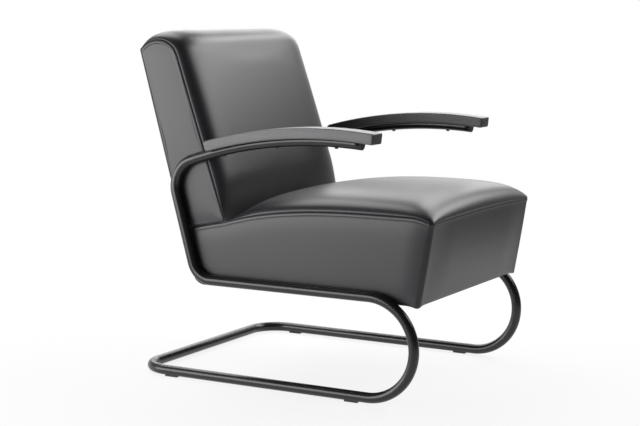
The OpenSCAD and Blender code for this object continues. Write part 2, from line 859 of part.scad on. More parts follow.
// Places across a soft body, as shares of its half width
corner_share = seat_corner_r / seat_half_w;
half_shares = [0.25, 0.5, 0.72, 0.87, 1 - corner_share, 1 - 0.45 * corner_share,
    1 - 0.12 * corner_share, 1];
station_shares = concat([for (i = [len(half_shares) - 1:-1:0]) -half_shares[i]], [0], half_shares);

function grid(outline, first, last, inset, half_w, way) =
    [for (i = [first:last]) [for (u = station_shares) body_point(outline, i, u, inset, half_w, way)]];

// Joins an outer and an inner grid of points into a closed sheet with a thickness
module sheet(outer, inner, flip = false) {
    rows = len(outer);
    cols = len(outer[0]);
    n = rows * cols;
    points = concat([for (r = outer, p = r) p], [for (r = inner, p = r) p]);
    skin = [for (r = [0:rows - 2], c = [0:cols - 2], t = [0, 1]) let (a = r * cols + c)
        t == 0 ? [a, a + 1, a + cols + 1] : [a, a + cols + 1, a + cols]];
    rim = concat(
        [for (c = [0:cols - 2]) [c, c + 1]],
        [for (r = [0:rows - 2]) [r * cols + cols - 1, (r + 1) * cols + cols - 1]],
        [for (c = [cols - 2:-1:0]) [(rows - 1) * cols + c + 1, (rows - 1) * cols + c]],
        [for (r = [rows - 2:-1:0]) [(r + 1) * cols, r * cols]]
    );
    faces = concat(
        skin,
        [for (f = skin) [f[0] + n, f[2] + n, f[1] + n]],
        [for (e = rim) [e[1], e[0], e[0] + n]],
        [for (e = rim) [e[1], e[0] + n, e[1] + n]]
    );
    polyhedron(points, flip ? [for (f = faces) [f[2], f[1], f[0]]] : faces);
}

// A side panel: rings of the outline that shrink towards a hub and bulge outwards
ring_shares = [1, 0.965, 0.89, 0.76, 0.45];
bulge_shares = [0, 0.42, 0.8, 1, 1];
function ring_point(outline, i, k, side, inset, half_w, way, hub) = let (
        edge = body_point(outline, i, side, inset, half_w, way),
        free = body_point(outline, i, side, 0, half_w, way),
        from = k == 0 ? edge : free,
        hub_y = mid_s - hub[0]
    ) [side * (half_w - inset + side_bulge * bulge_shares[k]),
       hub_y + (from[1] - hub_y) * ring_shares[k],
       hub[1] + (from[2] - hub[1]) * ring_shares[k]];

module side_panel(outline, side, half_w, way, hub) {
    n = len(outline);
    rings = len(ring_shares);
    half = n * rings + 1;
    points = [for (inset = [0, leather_t]) each concat(
        [for (k = [0:rings - 1], i = [0:n - 1])
            ring_point(outline, i, k, side, inset, half_w, way, hub)],
        [[side * (half_w - inset + side_bulge), mid_s - hub[0], hub[1]]]
    )];
    skin = concat(
        [for (k = [0:rings - 2], i = [0:n - 1], t = [0, 1])
            let (a = k * n + i, b = k * n + (i + 1) % n)
            t == 0 ? [a, b, b + n] : [a, b + n, a + n]],
        [for (i = [0:n - 1]) [(rings - 1) * n + i, (rings - 1) * n + (i + 1) % n, half - 1]]
    );
    faces = concat(
        skin,
        [for (f = skin) [f[2] + half, f[1] + half, f[0] + half]],
        [for (i = [0:n - 1]) [(i + 1) % n, i, i + half]],
        [for (i = [0:n - 1]) [(i + 1) % n, i + half, (i + 1) % n + half]]
    );
    polyhedron(points, side * way > 0 ? [for (f = faces) [f[2], f[1], f[0]]] : faces);
}

// A closed foam body. Each station across the chair has an outer chain of points and
// a floor chain of as many, like the rails of a ladder.
module foam_body(rows, way) {
    n = len(rows[0]);
    half = n / 2;
    stations = len(rows);
    last = (stations - 1) * n;
    points = [for (r = rows, p = r) p];
    walls = [for (k = [0:stations - 2], i = [0:n - 1], t = [0, 1])
        let (a = k * n + i, b = k * n + (i + 1) % n)
        t == 0 ? [a, b, b + n] : [a, b + n, a + n]];
    ends = [for (i = [0:half - 2], t = [0, 1])
        t == 0 ? [i, n - 2 - i, i + 1] : [i, n - 1 - i, n - 2 - i]];
    faces = concat(
        walls,
        ends,
        [for (f = ends) [f[0] + last, f[2] + last, f[1] + last]]
    );
    polyhedron(points, way > 0 ? faces : [for (f = faces) [f[2], f[1], f[0]]]);
}

foam_inset = leather_t + soft_gap;
function mix(a, b, share) = a + (b - a) * share;
// The seat's foam covers the springs and folds down in front of the front board
foam_heel = seat_slice(foam_low, 0, rear_gap + ear_w + soft_gap)[0];
lip_inset = foam_inset + front_foam_t - soft_gap;
lip_top = [seat_slice(foam_low, lip_inset, 0)[1], foam_low];
lip_front_share = 0.35;
foam_run_share = 0.9;
function lip_point(z) = [seat_slice(z, lip_inset, 0)[1], z];
function seat_floor_point(i, p) =
    i < seat_top_end ? [foam_heel + (i == 1 ? 0 : (p[0] - foam_heel) * foam_run_share), foam_low] :
    let (a = seat_front_shares[i - seat_top_end])
    a <= lip_front_share
        ? mix([mix(foam_heel, seat_reach, foam_run_share), foam_low], lip_top, a / lip_front_share)
        : lip_point(max(p[1], board_low + soft_gap));
module seat_foam() {
    rows = [for (u = station_shares) let (
            outer = [for (i = [1:seat_front_end])
                body_point(seat_outline, i, u, foam_inset, seat_half_w, 1)],
            x = u * (seat_half_w - foam_inset)
        ) concat(outer, [for (i = [seat_front_end:-1:1])
            let (q = seat_floor_point(i, seat_outline[i][0])) [x, mid_s - q[0], q[1]]])];
    color("#efe2b0")
        foam_body(rows, -1);
}

side_pad_share = 0.72;
module side_pad(outline, hub, places) {
    difference() {
        polygon([for (row = outline) hub + (row[0] - hub) * side_pad_share]);
        bolt_bores(places);
    }
}

module seat_side_pads() {
    color("#dcd8cc")
        both_sides()
            across(pad_x, pad_x + side_pad_t)
                side_pad(seat_outline, seat_hub, seat_bolts);
}

module seat_leather_top() {
    color("#3a3b3d")
        difference() {
            sheet(
                grid(seat_outline, 0, seat_top_end, 0, seat_half_w, 1),
                grid(seat_outline, 0, seat_top_end, leather_t, seat_half_w, 1)
            );
            joining_bores();
        }
}

// The band is one strip that wraps round both sides and the front
module seat_leather_band() {
    color("#323335")
        difference() {
            union() {
                sheet(
                    grid(seat_outline, seat_top_end, seat_front_end, 0, seat_half_w, 1),
                    grid(seat_outline, seat_top_end, seat_front_end, leather_t, seat_half_w, 1)
                );
                for (side = [-1, 1])
                    side_panel(seat_outline, side, seat_half_w, 1, seat_hub);
            }
            both_sides()
                across(board_x, side_x + overrun)
                    bolt_bores(seat_bolts);
        }
}

module seat_leather_rear() {
    color("#323335")
        sheet(
            grid(seat_outline, seat_heel_i, len(seat_outline), 0, seat_half_w, 1),
            grid(seat_outline, seat_heel_i, len(seat_outline), leather_t, seat_half_w, 1)
        );
}

dust_margin = 14;
dust_t = 1.2;
module seat_dust_cover() {
    color("#1c1c1c")
        across(-board_x + soft_gap, board_x - soft_gap)
            translate([seat_heel[0] + leather_t, board_low - soft_gap - dust_t])
                square([seat_toe[0] - dust_margin - seat_heel[0], dust_t]);
}

// The back's boards are drawn along its rear face: v is the distance in front of the
// face, and u is the distance up along it from the joint
stile_w = 40;
stile_rear = 8;
stile_top_gap = 51;
stile_len = norm(back_rear_top - back_low_rear) - stile_top_gap;
stile_low = 1;
board_panel_t = 4;
top_rail_h = 60;
low_rail_h = 30;
function back_point(v, u) = back_low_rear + v * [cos(back_rear_lean), sin(back_rear_lean)]
    + u * [-sin(back_rear_lean), cos(back_rear_lean)];

module back_slab(v0, v1, u0, u1) {
    polygon([back_point(v0, u0), back_point(v1, u0), back_point(v1, u1), back_point(v0, u1)]);
}

stile_rise = stile_w * tan(joint_lean);
module back_stile() {
    difference() {
        polygon([
            back_point(stile_rear, stile_low),
            back_point(stile_rear + stile_w, stile_low + stile_rise),
            back_point(stile_rear + stile_w, stile_len),
            back_point(stile_rear, stile_len)
        ]);
        bolt_bores(back_bolts);
    }
}

module back_stile_left() {
    color("#c9a877")
        across(-board_x, -board_in_x)
            back_stile();
}

module back_stile_right() {
    color("#c9a877")
        across(board_in_x, board_x)
            back_stile();
}

module back_top_rail() {
    color("#d2b182")
        across(-board_in_x, board_in_x)
            back_slab(stile_rear, stile_rear + board_t, stile_len - top_rail_h, stile_len);
}

// The low rail lies flat on the seat's rear board, with a leather shelf between them
module back_low_rail() {
    color("#d2b182")
        difference() {
            across(-board_in_x, board_in_x)
                polygon([
                    back_point(stile_rear, stile_low),
                    back_point(stile_rear + stile_w, stile_low + stile_rise),
                    back_point(stile_rear + stile_w, stile_low + stile_rise + low_rail_h),
                    back_point(stile_rear, stile_low + low_rail_h)
                ]);
            joining_bores();
            bolt_pockets();
        }
}

band_t = 2;
band_margin = 18;
module back_webbing() {
    field = stile_len - stile_low - stile_rise - 2 * band_margin;
    color("#2d2a27")
        across(-board_x, board_x)
            for (i = [0:band_count - 1])
                let (u = stile_low + stile_rise + band_margin + field * (i + 0.5) / band_count)
                    back_slab(stile_rear + stile_w + fit_gap, stile_rear + stile_w + band_t,
                        u - band_w / 2, u + band_w / 2);
}

module back_board() {
    color("#8a6a45")
        across(-board_x, board_x)
            back_slab(stile_rear - soft_gap / 2 - board_panel_t, stile_rear - soft_gap / 2,
                stile_low, stile_len);
}

// The back's foam lies before the webbing and folds over the top of the boards
web_front = stile_rear + stile_w + band_t + soft_gap;
foam_top_u = stile_len + soft_gap;
foam_low_u = foam_inset + web_front * tan(joint_lean);
function back_floor_point(i) = i < len(back_front_shares)
    ? back_point(web_front, mix(foam_low_u, foam_top_u, back_front_shares[i]))
    : mix(back_point(web_front, foam_top_u), back_point(foam_inset, foam_top_u),
        i < back_top_i ? back_arc_shares[i - len(back_front_shares)] : 1);
module back_foam() {
    rows = [for (u = station_shares) let (
            outer = [for (i = [0:back_top_i])
                body_point(back_outline, i, u, foam_inset, seat_half_w, -1)],
            x = u * (seat_half_w - foam_inset)
        ) concat(outer, [for (i = [back_top_i:-1:0])
            let (q = back_floor_point(i)) [x, mid_s - q[0], q[1]]])];
    color("#efe2b0")
        foam_body(rows, 1);
}

module back_side_pads() {
    color("#dcd8cc")
        both_sides()
            across(pad_x, pad_x + side_pad_t)
                side_pad(back_outline, back_hub, back_bolts);
}

module back_leather_front() {
    color("#3a3b3d")
        sheet(
            grid(back_outline, 0, back_top_i, 0, seat_half_w, -1),
            grid(back_outline, 0, back_top_i, leather_t, seat_half_w, -1),
            flip = true
        );
}

module back_leather_rear() {
    color("#323335")
        sheet(
            grid(back_outline, back_top_i, back_rear_i, 0, seat_half_w, -1),
            grid(back_outline, back_top_i, back_rear_i, leather_t, seat_half_w, -1),
            flip = true
        );
}

module back_leather_side(side) {
    difference() {
        side_panel(back_outline, side, seat_half_w, -1, back_hub);
        both_sides()
            across(board_x, side_x + overrun)
                bolt_bores(back_bolts);
    }
}

module back_leather_left() {
    color("#323335")
        back_leather_side(-1);
}

module back_leather_right() {
    color("#323335")
        back_leather_side(1);
}

// Long screws hold the back's low rail on the seat's rear board
joining_screw_d = 6;
joining_head_d = 11;
joining_head_h = 3;
joining_v = rear_gap + board_t / 2;
joining_up = stile_low + low_rail_h + (joining_v - stile_rear) * tan(joint_lean);
joining_down = 30;
// How deep the screws' heads are sunk in the low rail
joining_set = 2;
joining_shares = [-0.75, -0.25, 0.25, 0.75];

module on_joining_axes() {
    foot = back_point(joining_v, joining_up);
    for (a = joining_shares)
        translate([a * board_in_x, mid_s - foot[0], foot[1]])
            rotate([-back_rear_lean, 0, 0])
                children();
}

module joining_bores() {
    on_joining_axes()
        translate([0, 0, -joining_up - joining_down - fit_gap])
            cylinder(d = joining_screw_d + 2 * fit_gap, h = joining_up + joining_down + overrun);
    on_joining_axes()
        translate([0, 0, -joining_head_h - joining_set])
            cylinder(d = joining_head_d + 2 * fit_gap, h = joining_head_h + joining_set + overrun);
}

module joining_screws() {
    color("#8f9296")
        on_joining_axes() {
            translate([0, 0, -joining_head_h - joining_set + fit_gap])
                cylinder(d = joining_head_d, h = joining_head_h);
            translate([0, 0, -joining_up - joining_down])
                cylinder(d = joining_screw_d, h = joining_up + joining_down - joining_set - fit_gap);
        }
}

frame_tube();
tube_end_plugs();
floor_glides();
threaded_bushes();
saddle_spacers();
frame_bolts();
bolt_washers();
arm_pad_left();
arm_pad_right();
arm_pad_screws();
seat_rail_left();
seat_rail_right();
seat_front_rail();
seat_rear_rail();
seat_rear_ledge();
seat_corner_blocks();
seat_springs();
spring_clips();
spring_cloth();
seat_foam();
seat_side_pads();
seat_leather_top();
seat_leather_band();
seat_leather_rear();
seat_dust_cover();
back_stile_left();
back_stile_right();
back_top_rail();
back_low_rail();
back_webbing();
back_board();
back_foam();
back_side_pads();
back_leather_front();
back_leather_rear();
back_leather_left();
back_leather_right();
joining_screws();
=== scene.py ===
# %% [markdown]
# # A cantilever lounge chair
# One black lacquered steel tube makes the runners, the front loops, the seat rails, the
# uprights and the arms. A seat and a back, upholstered in smooth dark leather, hang between
# its two sides, and a bowed wooden pad lies on each arm. This lesson dresses the packed
# solids: it loads them as a fixed frame, makes finer surfaces where the eye rests, gives
# every piece a finish made of nodes, and lights the chair as in a white studio.

import json

import bmesh
import bpy
import numpy as np
from mathutils import Matrix, Vector


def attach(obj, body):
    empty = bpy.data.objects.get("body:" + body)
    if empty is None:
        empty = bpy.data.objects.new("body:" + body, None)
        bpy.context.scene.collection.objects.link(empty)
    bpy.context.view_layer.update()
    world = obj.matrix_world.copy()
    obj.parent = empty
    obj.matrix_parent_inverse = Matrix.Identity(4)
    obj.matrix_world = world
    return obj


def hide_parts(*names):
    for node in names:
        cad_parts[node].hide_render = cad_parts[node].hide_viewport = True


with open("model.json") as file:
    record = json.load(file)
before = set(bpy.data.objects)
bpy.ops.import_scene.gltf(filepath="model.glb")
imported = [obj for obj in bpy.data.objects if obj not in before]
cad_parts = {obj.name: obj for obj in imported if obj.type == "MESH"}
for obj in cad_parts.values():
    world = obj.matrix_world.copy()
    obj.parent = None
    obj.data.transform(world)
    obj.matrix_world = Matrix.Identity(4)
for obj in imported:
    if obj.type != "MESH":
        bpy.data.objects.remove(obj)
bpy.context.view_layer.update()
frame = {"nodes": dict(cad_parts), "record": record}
nodes = frame["nodes"]
slots = {part["node"]: part["material_slot"] for part in frame["record"]["subparts"]}

# %% [markdown]
# ## Sizes
# The side view of the chair is drawn with two numbers: s is the distance forward of the rear
# floor tube's centre line, and z is the height above the floor, both in millimetres. The
# third number, x, runs across. Every outline below is a formula in these numbers, so each
# piece lands where its solid is. One helper turns them into metres in the frame's own axes.

# %% Sizes of the chair, in millimetres
TUBE_R, TUBE_X = 12.5, 306.0
FLOOR_Z, RAIL_Z = 14.5, 252.5
SEAT_REACH, HALF_W = 797.0, 289.0
SEAT_LOW = RAIL_Z - TUBE_R - 4.0
MID_S = (SEAT_REACH - TUBE_R) / 2
SIDES = ((-1, "left"), (1, "right"))


def tan(degrees):
    """Tangent of an angle in degrees."""
    return np.tan(np.radians(degrees))


def in_frame(x, s, z):
    """Millimetres across, forward and up become metres in the frame: (x, MID_S - s, z) / 1000."""
    x, s, z = np.broadcast_arrays(x, s, z)
    return np.stack([x, MID_S - s, z], axis=-1) / 1000.0


print("width over the tube:", 2 * (TUBE_X + TUBE_R), "mm, reach of the seat:", SEAT_REACH, "mm")

# %% [markdown]
# The back stands between two leaning lines, its rear face and its front seam. A third line,
# which falls to the rear, is the joint that the back stands on. Points where such lines meet
# are worked out in the source of the solids, and stand here with six digits.

# %% Lines of the back and of its joint with the seat
BACK_FOOT, BACK_DEPTH = 152.9, 138.9
REAR_LEAN, FRONT_LEAN, JOINT_FALL = 15.7, 18.95, 12.0
JOINT_H, JOINT_S = 396.0, 242.529
JOINT_REAR = np.array([119.891, 369.933])


def back_rear_s(z):
    """Rear face of the back: a straight line that leans back."""
    return BACK_FOOT - (z - RAIL_Z) * tan(REAR_LEAN)


def back_front_s(z):
    """Front seam of the back: a straight line that leans back a little more."""
    return BACK_FOOT + BACK_DEPTH - (z - RAIL_Z) * tan(FRONT_LEAN)


def joint_z(s):
    """The joint between seat and back falls to the rear in a straight line."""
    return JOINT_H - (JOINT_S - s) * tan(JOINT_FALL)


print("joint from", (JOINT_S, JOINT_H), "to", tuple(JOINT_REAR.tolist()))

# %% [markdown]
# ## From a grid of points to a mesh
# A surface worked out on a grid of two parameters is an array of rows and columns of points.
# Its faces are found the same way, as one array: each point with its neighbours along the
# row and the column. A tube closes its columns into rings, and a cap is a last ring that has
# shrunk to one point, which merging then makes a true pole.

# %% Grid helpers
def grid_faces(rows, cols, close_cols=False):
    """Four corners of each cell: a point, its right neighbour, the one below that and the one below."""
    index = np.arange(rows * cols).reshape(rows, cols)
    if close_cols:
        index = np.hstack([index, index[:, :1]])
    corners = [index[:-1, :-1], index[:-1, 1:], index[1:, 1:], index[1:, :-1]]
    return np.stack(corners, axis=-1).reshape(-1, 4)


def mesh_from(name, points, faces):
    """A smooth mesh object from an array of points and an array of faces."""
    mesh = bpy.data.meshes.new(name)
    mesh.from_pydata(points.reshape(-1, 3).tolist(), [], faces.tolist())
    mesh.polygons.foreach_set("use_smooth", np.ones(len(mesh.polygons), bool))
    mesh.update()
    piece = bpy.data.objects.new(name, mesh)
    bpy.context.scene.collection.objects.link(piece)
    return piece


def merge_and_turn(piece, turn=True):
    """Merges doubled points, and turns a closed shape's faces outwards."""
    work = bmesh.new()
    work.from_mesh(piece.data)
    bmesh.ops.remove_doubles(work, verts=work.verts, dist=1e-7)
    bmesh.ops.dissolve_degenerate(work, edges=work.edges, dist=1e-8)
    if turn:
        bmesh.ops.recalc_face_normals(work, faces=work.faces)
    for face in work.faces:
        face.smooth = True
    work.to_mesh(piece.data)
    work.free()
    return piece


def face_away(piece, hub):
    """Turns an open sheet's faces away from a hub, by the mean of normal times direction."""
    mesh = piece.data
    normals = np.empty(len(mesh.polygons) * 3)
    centres = np.empty(len(mesh.polygons) * 3)
    mesh.polygons.foreach_get("normal", normals)
    mesh.polygons.foreach_get("center", centres)
    towards = centres.reshape(-1, 3) - np.array(hub)
    if np.mean(np.sum(normals.reshape(-1, 3) * towards, axis=1)) < 0:
        mesh.flip_normals()
    return piece


def grid_normals(points, hub):
    """Unit normals of a grid: the cross product of its two directions, turned away from a hub."""
    along, across = np.gradient(points, axis=0), np.gradient(points, axis=1)
    normal = np.cross(along, across)
    normal /= np.maximum(np.linalg.norm(normal, axis=-1, keepdims=True), 1e-12)
    away = np.sum(normal * (points - np.array(hub)), axis=-1).mean()
    return normal if away > 0 else -normal


print("a grid of 3 by 4 points has", len(grid_faces(3, 4)), "faces, closed", len(grid_faces(3, 4, True)))

# %% [markdown]
# ## Finishes
# Every finish is a small tree of nodes on a Principled shader. The patterns read Object
# coordinates, which are metres here, so a scale of 900 gives marks about a millimetre wide.
# A number that is the same all over the surface stays on the shader's own socket.

# %% Node helpers
def new_finish(name):
    """An empty material and its Principled shader."""
    material = bpy.data.materials.new(name)
    material.use_nodes = True
    tree = material.node_tree
    tree.nodes.clear()
    shader = tree.nodes.new("ShaderNodeBsdfPrincipled")
    output = tree.nodes.new("ShaderNodeOutputMaterial")
    tree.links.new(shader.outputs[0], output.inputs["Surface"])
    return material, tree, shader


def connect(tree, made, inputs):
    """Fills a node's inputs: a value is set on the socket, and another node's output is linked."""
    for key, value in inputs.items():
        if isinstance(value, bpy.types.NodeSocket):
            tree.links.new(value, made.inputs[key])
        else:
            made.inputs[key].default_value = value


def node(tree, kind, inputs=None, **settings):
    """One node with its settings and inputs."""
    made = tree.nodes.new(kind)
    for key, value in settings.items():
        setattr(made, key, value)
    connect(tree, made, inputs or {})
    return made


def object_place(tree, scale=(1, 1, 1)):
    """Object coordinates in metres, stretched along the axes."""
    place = node(tree, "ShaderNodeTexCoord").outputs["Object"]
    return node(tree, "ShaderNodeMapping", {"Vector": place, "Scale": scale}).outputs["Vector"]


def noise(tree, place, scale, detail=2.0, rough=0.5):
    """Soft noise between 0 and 1."""
    inputs = {"Vector": place, "Scale": scale, "Detail": detail, "Roughness": rough}
    return node(tree, "ShaderNodeTexNoise", inputs).outputs["Fac"]


def between(tree, factor, low, high, start=0.0, end=1.0, curve="LINEAR"):
    """A value that runs from low to high as factor runs from start to end."""
    inputs = {"Value": factor, "From Min": start, "From Max": end, "To Min": low, "To Max": high}
    return node(tree, "ShaderNodeMapRange", inputs, interpolation_type=curve).outputs["Result"]


def combine(tree, operation, first, second):
    """Two values put together, as by MULTIPLY or MAXIMUM."""
    return node(tree, "ShaderNodeMath", {0: first, 1: second}, operation=operation).outputs[0]


def facing(tree, direction, way):
    """How far a direction points a certain way: their dot product."""
    inputs = {0: direction, 1: way}
    return node(tree, "ShaderNodeVectorMath", inputs, operation="DOT_PRODUCT").outputs["Value"]


def tint(tree, factor, first, second):
    """A colour that runs from the first to the second as factor runs from 0 to 1."""
    made = tree.nodes.new("ShaderNodeMix")
    made.data_type = "RGBA"
    tree.links.new(factor, made.inputs[0])
    made.inputs[6].default_value = (*first, 1.0)
    made.inputs[7].default_value = (*second, 1.0)
    return made.outputs[2]


def bump(tree, height, distance, strength=1.0, under=None):
    """A bump from a height of 0 to 1 that stands for so many metres."""
    inputs = {"Height": height, "Distance": distance, "Strength": strength}
    if under is not None:
        inputs["Normal"] = under
    return node(tree, "ShaderNodeBump", inputs).outputs["Normal"]


# %% [markdown]
# ### Leather
# The cover is smooth, finely pebbled upholstery leather with a soft shine. At a low angle it
# mirrors the white studio and looks light grey, so the colour itself has to be dark. Small
# rounded cells make the pebbles and finer noise roughens them, both by a bump rather than by
# colour, and wide noise makes the hide's colour a little uneven.

# %% Leather
def leather(name, shade, gloss):
    """Dark leather: cells 1.2 mm wide for the pebbles, noise for the hide's unevenness."""
    material, tree, shader = new_finish(name)
    place = object_place(tree)
    pebble = {"Vector": place, "Scale": 820.0, "Randomness": 0.9}
    cells = node(tree, "ShaderNodeTexVoronoi", pebble).outputs["Distance"]
    wide = noise(tree, place, 9.0, 3.0)
    fine = noise(tree, place, 260.0, 3.0)
    dark = tuple(0.86 * c for c in shade)
    light = tuple(1.14 * c for c in shade)
    connect(tree, shader, {
        "Base Color": tint(tree, wide, dark, light),
        "Roughness": between(tree, fine, gloss - 0.03, gloss + 0.05),
        "Normal": bump(tree, cells, 0.0001, 0.2, bump(tree, fine, 0.0001, 0.2)),
        "Specular IOR Level": 0.5,
    })
    return material


# %% [markdown]
# ### Lacquer
# The tube is painted black and shines softly. A dark base with a thin clear coat does that,
# and a little noise in its gloss and relief is the orange peel that breaks up long highlights.

# %% Lacquer
def lacquer(name):
    """Black satin lacquer with a thin clear coat, and ripples a few millimetres wide."""
    material, tree, shader = new_finish(name)
    place = object_place(tree)
    connect(tree, shader, {
        "Base Color": tint(tree, noise(tree, place, 6.0), (0.006, 0.006, 0.007), (0.010, 0.010, 0.011)),
        "Roughness": between(tree, noise(tree, place, 40.0), 0.25, 0.33),
        "Normal": bump(tree, noise(tree, place, 220.0), 0.00008, 0.25),
        "Specular IOR Level": 0.46,
        "Coat Weight": 0.1,
        "Coat Roughness": 0.15,
    })
    return material


# %% [markdown]
# ### Wood
# The pads are ash, stained nearly black, whose grain runs along the arm and still shows as
# fine pores under a satin lacquer. Noise that is squeezed across the arm and stretched along
# it makes the grain. A face square to the grain soaks up more stain, so it is darker.

# %% Wood
def wood(name, dark, light, gloss):
    """Wood whose grain runs front to back: noise squeezed across the arm, and finer pores. The
    end grain's shade is a ramp over the forward part of the surface's own normal."""
    material, tree, shader = new_finish(name)
    rings = noise(tree, object_place(tree, (60.0, 3.5, 90.0)), 2.2, 4.0, 0.6)
    pore = noise(tree, object_place(tree, (900.0, 22.0, 1300.0)), 1.0, 2.0)
    normal = node(tree, "ShaderNodeTexCoord").outputs["Normal"]
    end_grain = between(tree, facing(tree, normal, (0.0, -1.0, 0.0)), 1.0, 0.3, 0.75, 0.96)
    grain = {0: tint(tree, rings, dark, light), "Scale": end_grain}
    connect(tree, shader, {
        "Base Color": node(tree, "ShaderNodeVectorMath", grain, operation="SCALE").outputs["Vector"],
        "Roughness": between(tree, pore, gloss - 0.06, gloss + 0.10),
        "Normal": bump(tree, pore, 0.00012, 0.4),
    })
    return material


# %% [markdown]
# ### Small parts, cloth and foam
# Plastic, steel and thread differ only in shade, gloss and metal, so one function makes them
# all. Cloth is two crossed waves, as its threads are. Foam and felt are matt, with open cells.

# %% Plastic, steel, cloth and foam
def plain(name, dark, light, gloss, metal=0.0, grain=300.0):
    """A moulded, cast or rolled surface: noise in its colour, its gloss and its relief."""
    material, tree, shader = new_finish(name)
    place = object_place(tree)
    fine = noise(tree, place, grain, 3.0)
    connect(tree, shader, {
        "Base Color": tint(tree, noise(tree, place, 25.0), dark, light),
        "Roughness": between(tree, fine, gloss - 0.05, gloss + 0.08),
        "Normal": bump(tree, fine, 0.00005, 0.4),
        "Metallic": metal,
    })
    return material


def woven(name, dark, light, threads):
    """Cloth: the product of two crossed waves, one for the warp and one for the weft."""
    material, tree, shader = new_finish(name)
    laid = {"Vector": object_place(tree), "Scale": threads}
    warp = node(tree, "ShaderNodeTexWave", laid, bands_direction="X").outputs["Fac"]
    weft = node(tree, "ShaderNodeTexWave", laid, bands_direction="Y").outputs["Fac"]
    crossed = combine(tree, "MULTIPLY", warp, weft)
    connect(tree, shader, {
        "Base Color": tint(tree, crossed, dark, light),
        "Roughness": 0.85,
        "Normal": bump(tree, crossed, 0.0003, 0.5),
    })
    return material


def foam(name, dark, light):
    """Cut foam or felt: open cells of about a millimetre."""
    material, tree, shader = new_finish(name)
    place = object_place(tree)
    cells = node(tree, "ShaderNodeTexVoronoi", {"Vector": place, "Scale": 700.0}).outputs["Distance"]
    connect(tree, shader, {
        "Base Color": tint(tree, noise(tree, place, 30.0, 4.0), dark, light),
        "Roughness": 0.95,
        "Normal": bump(tree, cells, 0.0005, 0.6),
    })
    return material


# %% [markdown]
# ### The chair's finishes
# Each finish is made once, under the name of its slot in the record, and every solid gets the
# finish of its slot. The leather and the pads are dark greys rather than black, as real black
# hide and stain are.

# %% The chair's finishes
finishes = {
    "tube_lacquer": lacquer("tube_lacquer"),
    "black_plastic": plain("black_plastic", (0.012, 0.012, 0.013), (0.022, 0.022, 0.023), 0.42),
    "zinc_steel": plain("zinc_steel", (0.045, 0.046, 0.050), (0.075, 0.077, 0.082), 0.40, 0.6),
    "dark_steel": plain("dark_steel", (0.20, 0.21, 0.22), (0.28, 0.29, 0.30), 0.36, 1.0),
    "spring_steel": plain("spring_steel", (0.30, 0.31, 0.33), (0.42, 0.43, 0.45), 0.38, 1.0),
    "stained_wood": wood("stained_wood", (0.062, 0.062, 0.066), (0.125, 0.125, 0.131), 0.40),
    "frame_wood": wood("frame_wood", (0.50, 0.36, 0.21), (0.72, 0.57, 0.38), 0.6),
    "hardboard": plain("hardboard", (0.20, 0.12, 0.06), (0.30, 0.19, 0.11), 0.7),
    "leather": leather("leather", (0.0200, 0.0196, 0.0230), 0.37),
    "upholstery_foam": foam("upholstery_foam", (0.74, 0.63, 0.36), (0.86, 0.76, 0.50)),
    "felt": foam("felt", (0.58, 0.55, 0.48), (0.74, 0.71, 0.64)),
    "pale_cloth": woven("pale_cloth", (0.55, 0.53, 0.48), (0.78, 0.76, 0.70), 260.0),
    "black_cloth": woven("black_cloth", (0.012, 0.012, 0.012), (0.030, 0.030, 0.030), 320.0),
    "webbing": woven("webbing", (0.015, 0.013, 0.012), (0.05, 0.044, 0.04), 180.0),
    "thread": plain("thread", (0.035, 0.035, 0.037), (0.06, 0.06, 0.062), 0.5, 0.0, 1500.0),
}
for name, solid in nodes.items():
    solid.data.materials.clear()
    solid.data.materials.append(finishes[slots[name]])
print("finishes:", len(finishes))

# %% [markdown]
# ## The tube
# The real frame is one straight tube, bent on a machine by a schedule of stretches and turns.
# The piece is made the same way: a pen walks along the schedule and leaves a point wherever
# the tube needs one, first down the right side, then across the rear of the floor, then up
# the left side. An upright would run JOINT_RUN to the height of the joint and ARM_OVER_JOINT
# further, and its two bends take their tangents off that. A ring of points is carried along
# the pen's path. The ring keeps its two directions square to the path by turning with every
# bend, so it never twists.

# %% The path of the tube
REAR_BEND, LOOP_R, UPRIGHT_R, ARM_R, BOW_R = 77.0, 119.0, 54.0, 71.0, 1150.0
RUNNER, RAIL, JOINT_RUN, ARM_OVER_JOINT, BOW = 643.0, 472.0, 121.993, 159.0, 473.0
UPRIGHT_LEAN, ARM_RISE = 15.715, 18.821
upright_turn, arm_turn = 90 - UPRIGHT_LEAN, 90 + UPRIGHT_LEAN - ARM_RISE
upright_tangent = UPRIGHT_R * tan(upright_turn / 2)
arm_tangent = ARM_R * tan(arm_turn / 2)
upright = JOINT_RUN + ARM_OVER_JOINT
SIDE_BENDS = [
    (RUNNER - REAR_BEND, 0.0, 0.0),
    (0.0, LOOP_R, 180.0),
    (RAIL - upright_tangent, 0.0, 0.0),
    (0.0, UPRIGHT_R, -upright_turn),
    (upright - upright_tangent - arm_tangent, 0.0, 0.0),
    (0.0, ARM_R, -arm_turn),
    (0.0, BOW_R, -np.degrees(BOW / BOW_R)),
]


def side_path(bends, start, step=3.0, bow_step=0.75):
    """Points (s, z) and headings along stretches and bends. A bend of radius r and turn t
    round its centre c has the points c + r * (cos a, sin a), with a from its start to its end."""
    point, heading = np.array(start, float), 0.0
    points, headings = [point], [heading]
    for length, radius, turn in bends:
        if radius == 0:
            ahead = np.array([np.cos(np.radians(heading)), np.sin(np.radians(heading))])
            point = point + length * ahead
            points.append(point)
            headings.append(heading)
            continue
        side = np.sign(turn) * 90
        to_centre = np.radians(heading + side)
        centre = point + radius * np.array([np.cos(to_centre), np.sin(to_centre)])
        count = int(np.ceil(abs(turn) / (bow_step if radius == BOW_R else step)))
        for share in np.arange(1, count + 1) / count:
            angle = np.radians(heading + turn * share - side)
            points.append(centre + radius * np.array([np.cos(angle), np.sin(angle)]))
            headings.append(heading + turn * share)
        point, heading = points[-1], heading + turn
    return np.array(points), np.array(headings)


